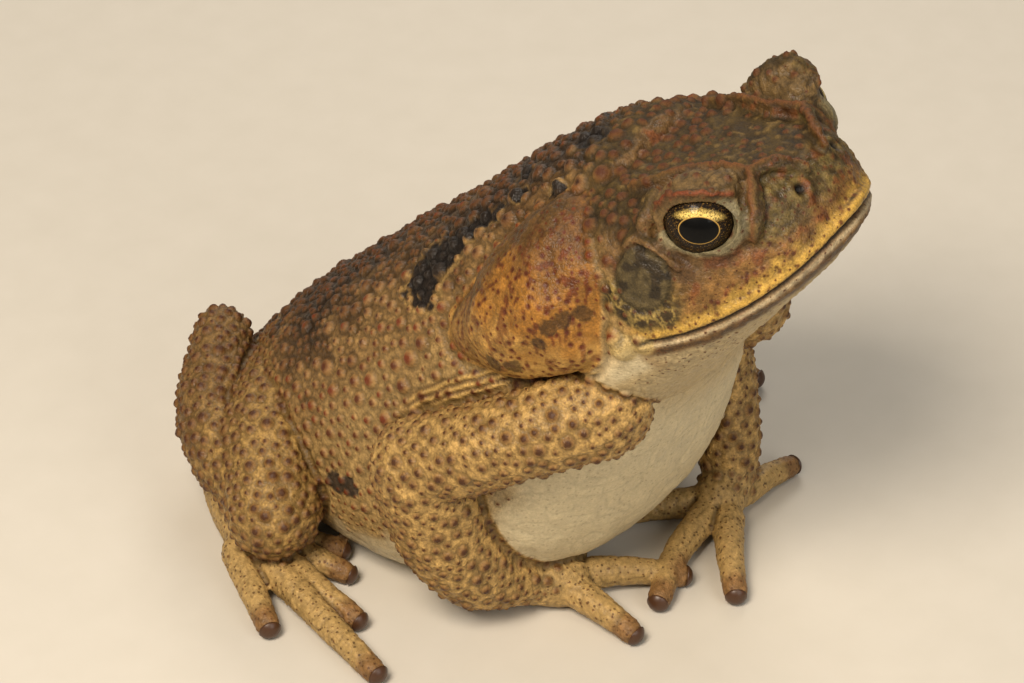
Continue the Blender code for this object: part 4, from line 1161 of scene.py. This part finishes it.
# Painted shade: the colour is multiplied darker where the skin lies in a hollow, and a little lighter where it
# stands up.
depth = add(vinyl, "MapRange", {"Value": shown["hollow"], "From Min": -0.9, "From Max": 0.9,
                                "To Min": 1.06, "To Max": 0.5})
shaded = add(vinyl, "Mix", {0: 1.0, 6: tipped.outputs[2], 7: depth},
             data_type="RGBA", blend_type="MULTIPLY")
gloss = add(vinyl, "MapRange", {"Value": patch, "From Min": 0.3, "From Max": 0.7,
                                "To Min": 0.38, "To Max": 0.62})
duller = add(vinyl, "Math", {0: shown["crown"], 1: 0.25, 2: gloss}, operation="MULTIPLY_ADD")
pebbled = add(vinyl, "MapRange", {"Value": seam, "From Min": 0.0, "From Max": 0.25})
relief = add(vinyl, "Math", {0: speckle, 1: 0.6, 2: pebbled}, operation="MULTIPLY_ADD")
bump = add(vinyl, "Bump", {"Strength": 0.5, "Distance": PEBBLE_RISE * MM, "Height": relief})
output(vinyl, add(vinyl, "BsdfPrincipled",
                  {"Base Color": shaded.outputs[2], "Roughness": duller, "IOR": 1.45,
                   "Specular IOR Level": 0.4, "Normal": bump}))
skin.data.materials.clear()
skin.data.materials.append(vinyl)
skin.data.shade_smooth()
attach(skin, "root")
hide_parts(*[name for name in frame["nodes"] if not name.startswith("eye")])


# Eyes
# Glass eyes under a clear wet cornea: black-bronze iris dusted with gold, brighter in a band
# above, with a level oval pupil edged by a thin gold ring. Each sits in its socket.
PUPIL = (2.75, 2.0)
GOLD_DUST = 0.22
glass = new_material("glass_eye")
spot = add(glass, "TexCoord").outputs["Object"]
axes = add(glass, "SeparateXYZ", {0: spot})
across = add(glass, "Math", {0: axes, 1: PUPIL[0] * MM}, operation="DIVIDE")
upright = add(glass, "Math", {0: axes.outputs[1], 1: PUPIL[1] * MM}, operation="DIVIDE")
across_2 = add(glass, "Math", {0: across, 1: 2.0}, operation="POWER")
upright_2 = add(glass, "Math", {0: upright, 1: 2.0}, operation="POWER")
squared = add(glass, "Math", {0: across_2, 1: upright_2}, operation="ADD")
from_pupil = add(glass, "Math", {0: squared, 1: 0.5}, operation="POWER")
dust = add(glass, "TexNoise", {"Vector": spot, "Scale": 1 / (GOLD_DUST * MM), "Detail": 4.0, "Roughness": 0.7})
dusted = add(glass, "MapRange", {"Value": dust, "From Min": 0.56, "From Max": 0.7})
iris = add(glass, "Mix", {0: dusted, 6: "#140d08", 7: "#a87f38"}, data_type="RGBA")
above = add(glass, "MapRange", {"Value": upright, "From Min": 0.6, "From Max": 0.95})
speck = add(glass, "MapRange", {"Value": dust, "From Min": 0.35, "From Max": 0.55})
near_pupil = add(glass, "MapRange", {"Value": from_pupil, "From Min": 1.6, "From Max": 1.3})
arched = add(glass, "Math", {0: above, 1: near_pupil}, operation="MULTIPLY")
banded = add(glass, "Math", {0: arched, 1: speck}, operation="MULTIPLY")
band = add(glass, "Mix", {0: banded, 6: iris.outputs[2], 7: "#e9c970"}, data_type="RGBA")
edge_in = add(glass, "MapRange", {"Value": from_pupil, "From Min": 1.065, "From Max": 1.04})
rim = add(glass, "Mix", {0: edge_in, 6: band.outputs[2], 7: "#b8924a"}, data_type="RGBA")
inside = add(glass, "MapRange", {"Value": from_pupil, "From Min": 1.03, "From Max": 0.98})
looked = add(glass, "Mix", {0: inside, 6: rim.outputs[2], 7: "#020202"}, data_type="RGBA")
output(glass, add(glass, "BsdfPrincipled",
                  {"Base Color": looked.outputs[2], "Roughness": 0.5, "IOR": 1.4, "Specular IOR Level": 0.15,
                   "Coat Weight": 0.2, "Coat Roughness": 0.02, "Coat IOR": 1.4}))
for side in SIDES:
    looking = eye_frame(side)
    eye = ball(f"eyeball_{side}", Matrix.Identity(4), (EYE_R,) * 3, segments=96)
    eye.matrix_world = looking
    eye.data.materials.append(glass)
    eye.data.shade_smooth()
    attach(eye, "root")
    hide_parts(f"eye_{side}")


# Horny tips of the digits
# Each finger and toe ends in a small dark cap of horn, hard and shiny, set over its tip.
CAP_OVER = 0.04
CAP_FROM = 0.5
CAP_LONG = 1.08
HORN_STREAK = 0.8
horn_material = new_material("polished_horn")
streak = add(horn_material, "TexNoise", {"Scale": 1 / (HORN_STREAK * MM), "Detail": 3.0})
horn_shade = add(horn_material, "Mix", {0: streak, 6: "#2a170b", 7: "#58361b"}, data_type="RGBA")
output(horn_material, add(horn_material, "BsdfPrincipled",
                          {"Base Color": horn_shade.outputs[2], "Roughness": 0.4, "IOR": 1.54}))


def cap(name, tip, inner):
    """Rounded cap over the end of a digit, open towards its root."""
    along = Vector(tip[:3]) - Vector(inner[:3])
    frame_at = facing(at(*tip[:3]), along, Vector((0, 0, 1)))
    bm = bmesh.new()
    bmesh.ops.create_uvsphere(bm, u_segments=28, v_segments=30, radius=1.0)
    bmesh.ops.delete(bm, geom=[v for v in bm.verts if v.co.z < CAP_FROM], context="VERTS")
    reach = (tip[3] + CAP_OVER) * MM
    bm.transform(frame_at @ Matrix.Diagonal((reach, reach, reach * CAP_LONG, 1)))
    rim_edges = [edge for edge in bm.edges if edge.is_boundary]
    bmesh.ops.edgeloop_fill(bm, edges=rim_edges)
    for vert in bm.verts:
        vert.co.z = max(vert.co.z, 0)
    return mesh_object(name, bm)


for side, k in SIDES.items():
    for name, stations in limb_stations(side).items():
        if name.startswith(("finger", "toe")):
            tip, inner = ((k * x, y, z, r) for x, y, z, r in (stations[-1], stations[-2]))
            horn_cap = cap(f"horn_{name}", tip, inner)
            horn_cap.data.materials.append(horn_material)
            horn_cap.data.shade_smooth()
            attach(horn_cap, "root")
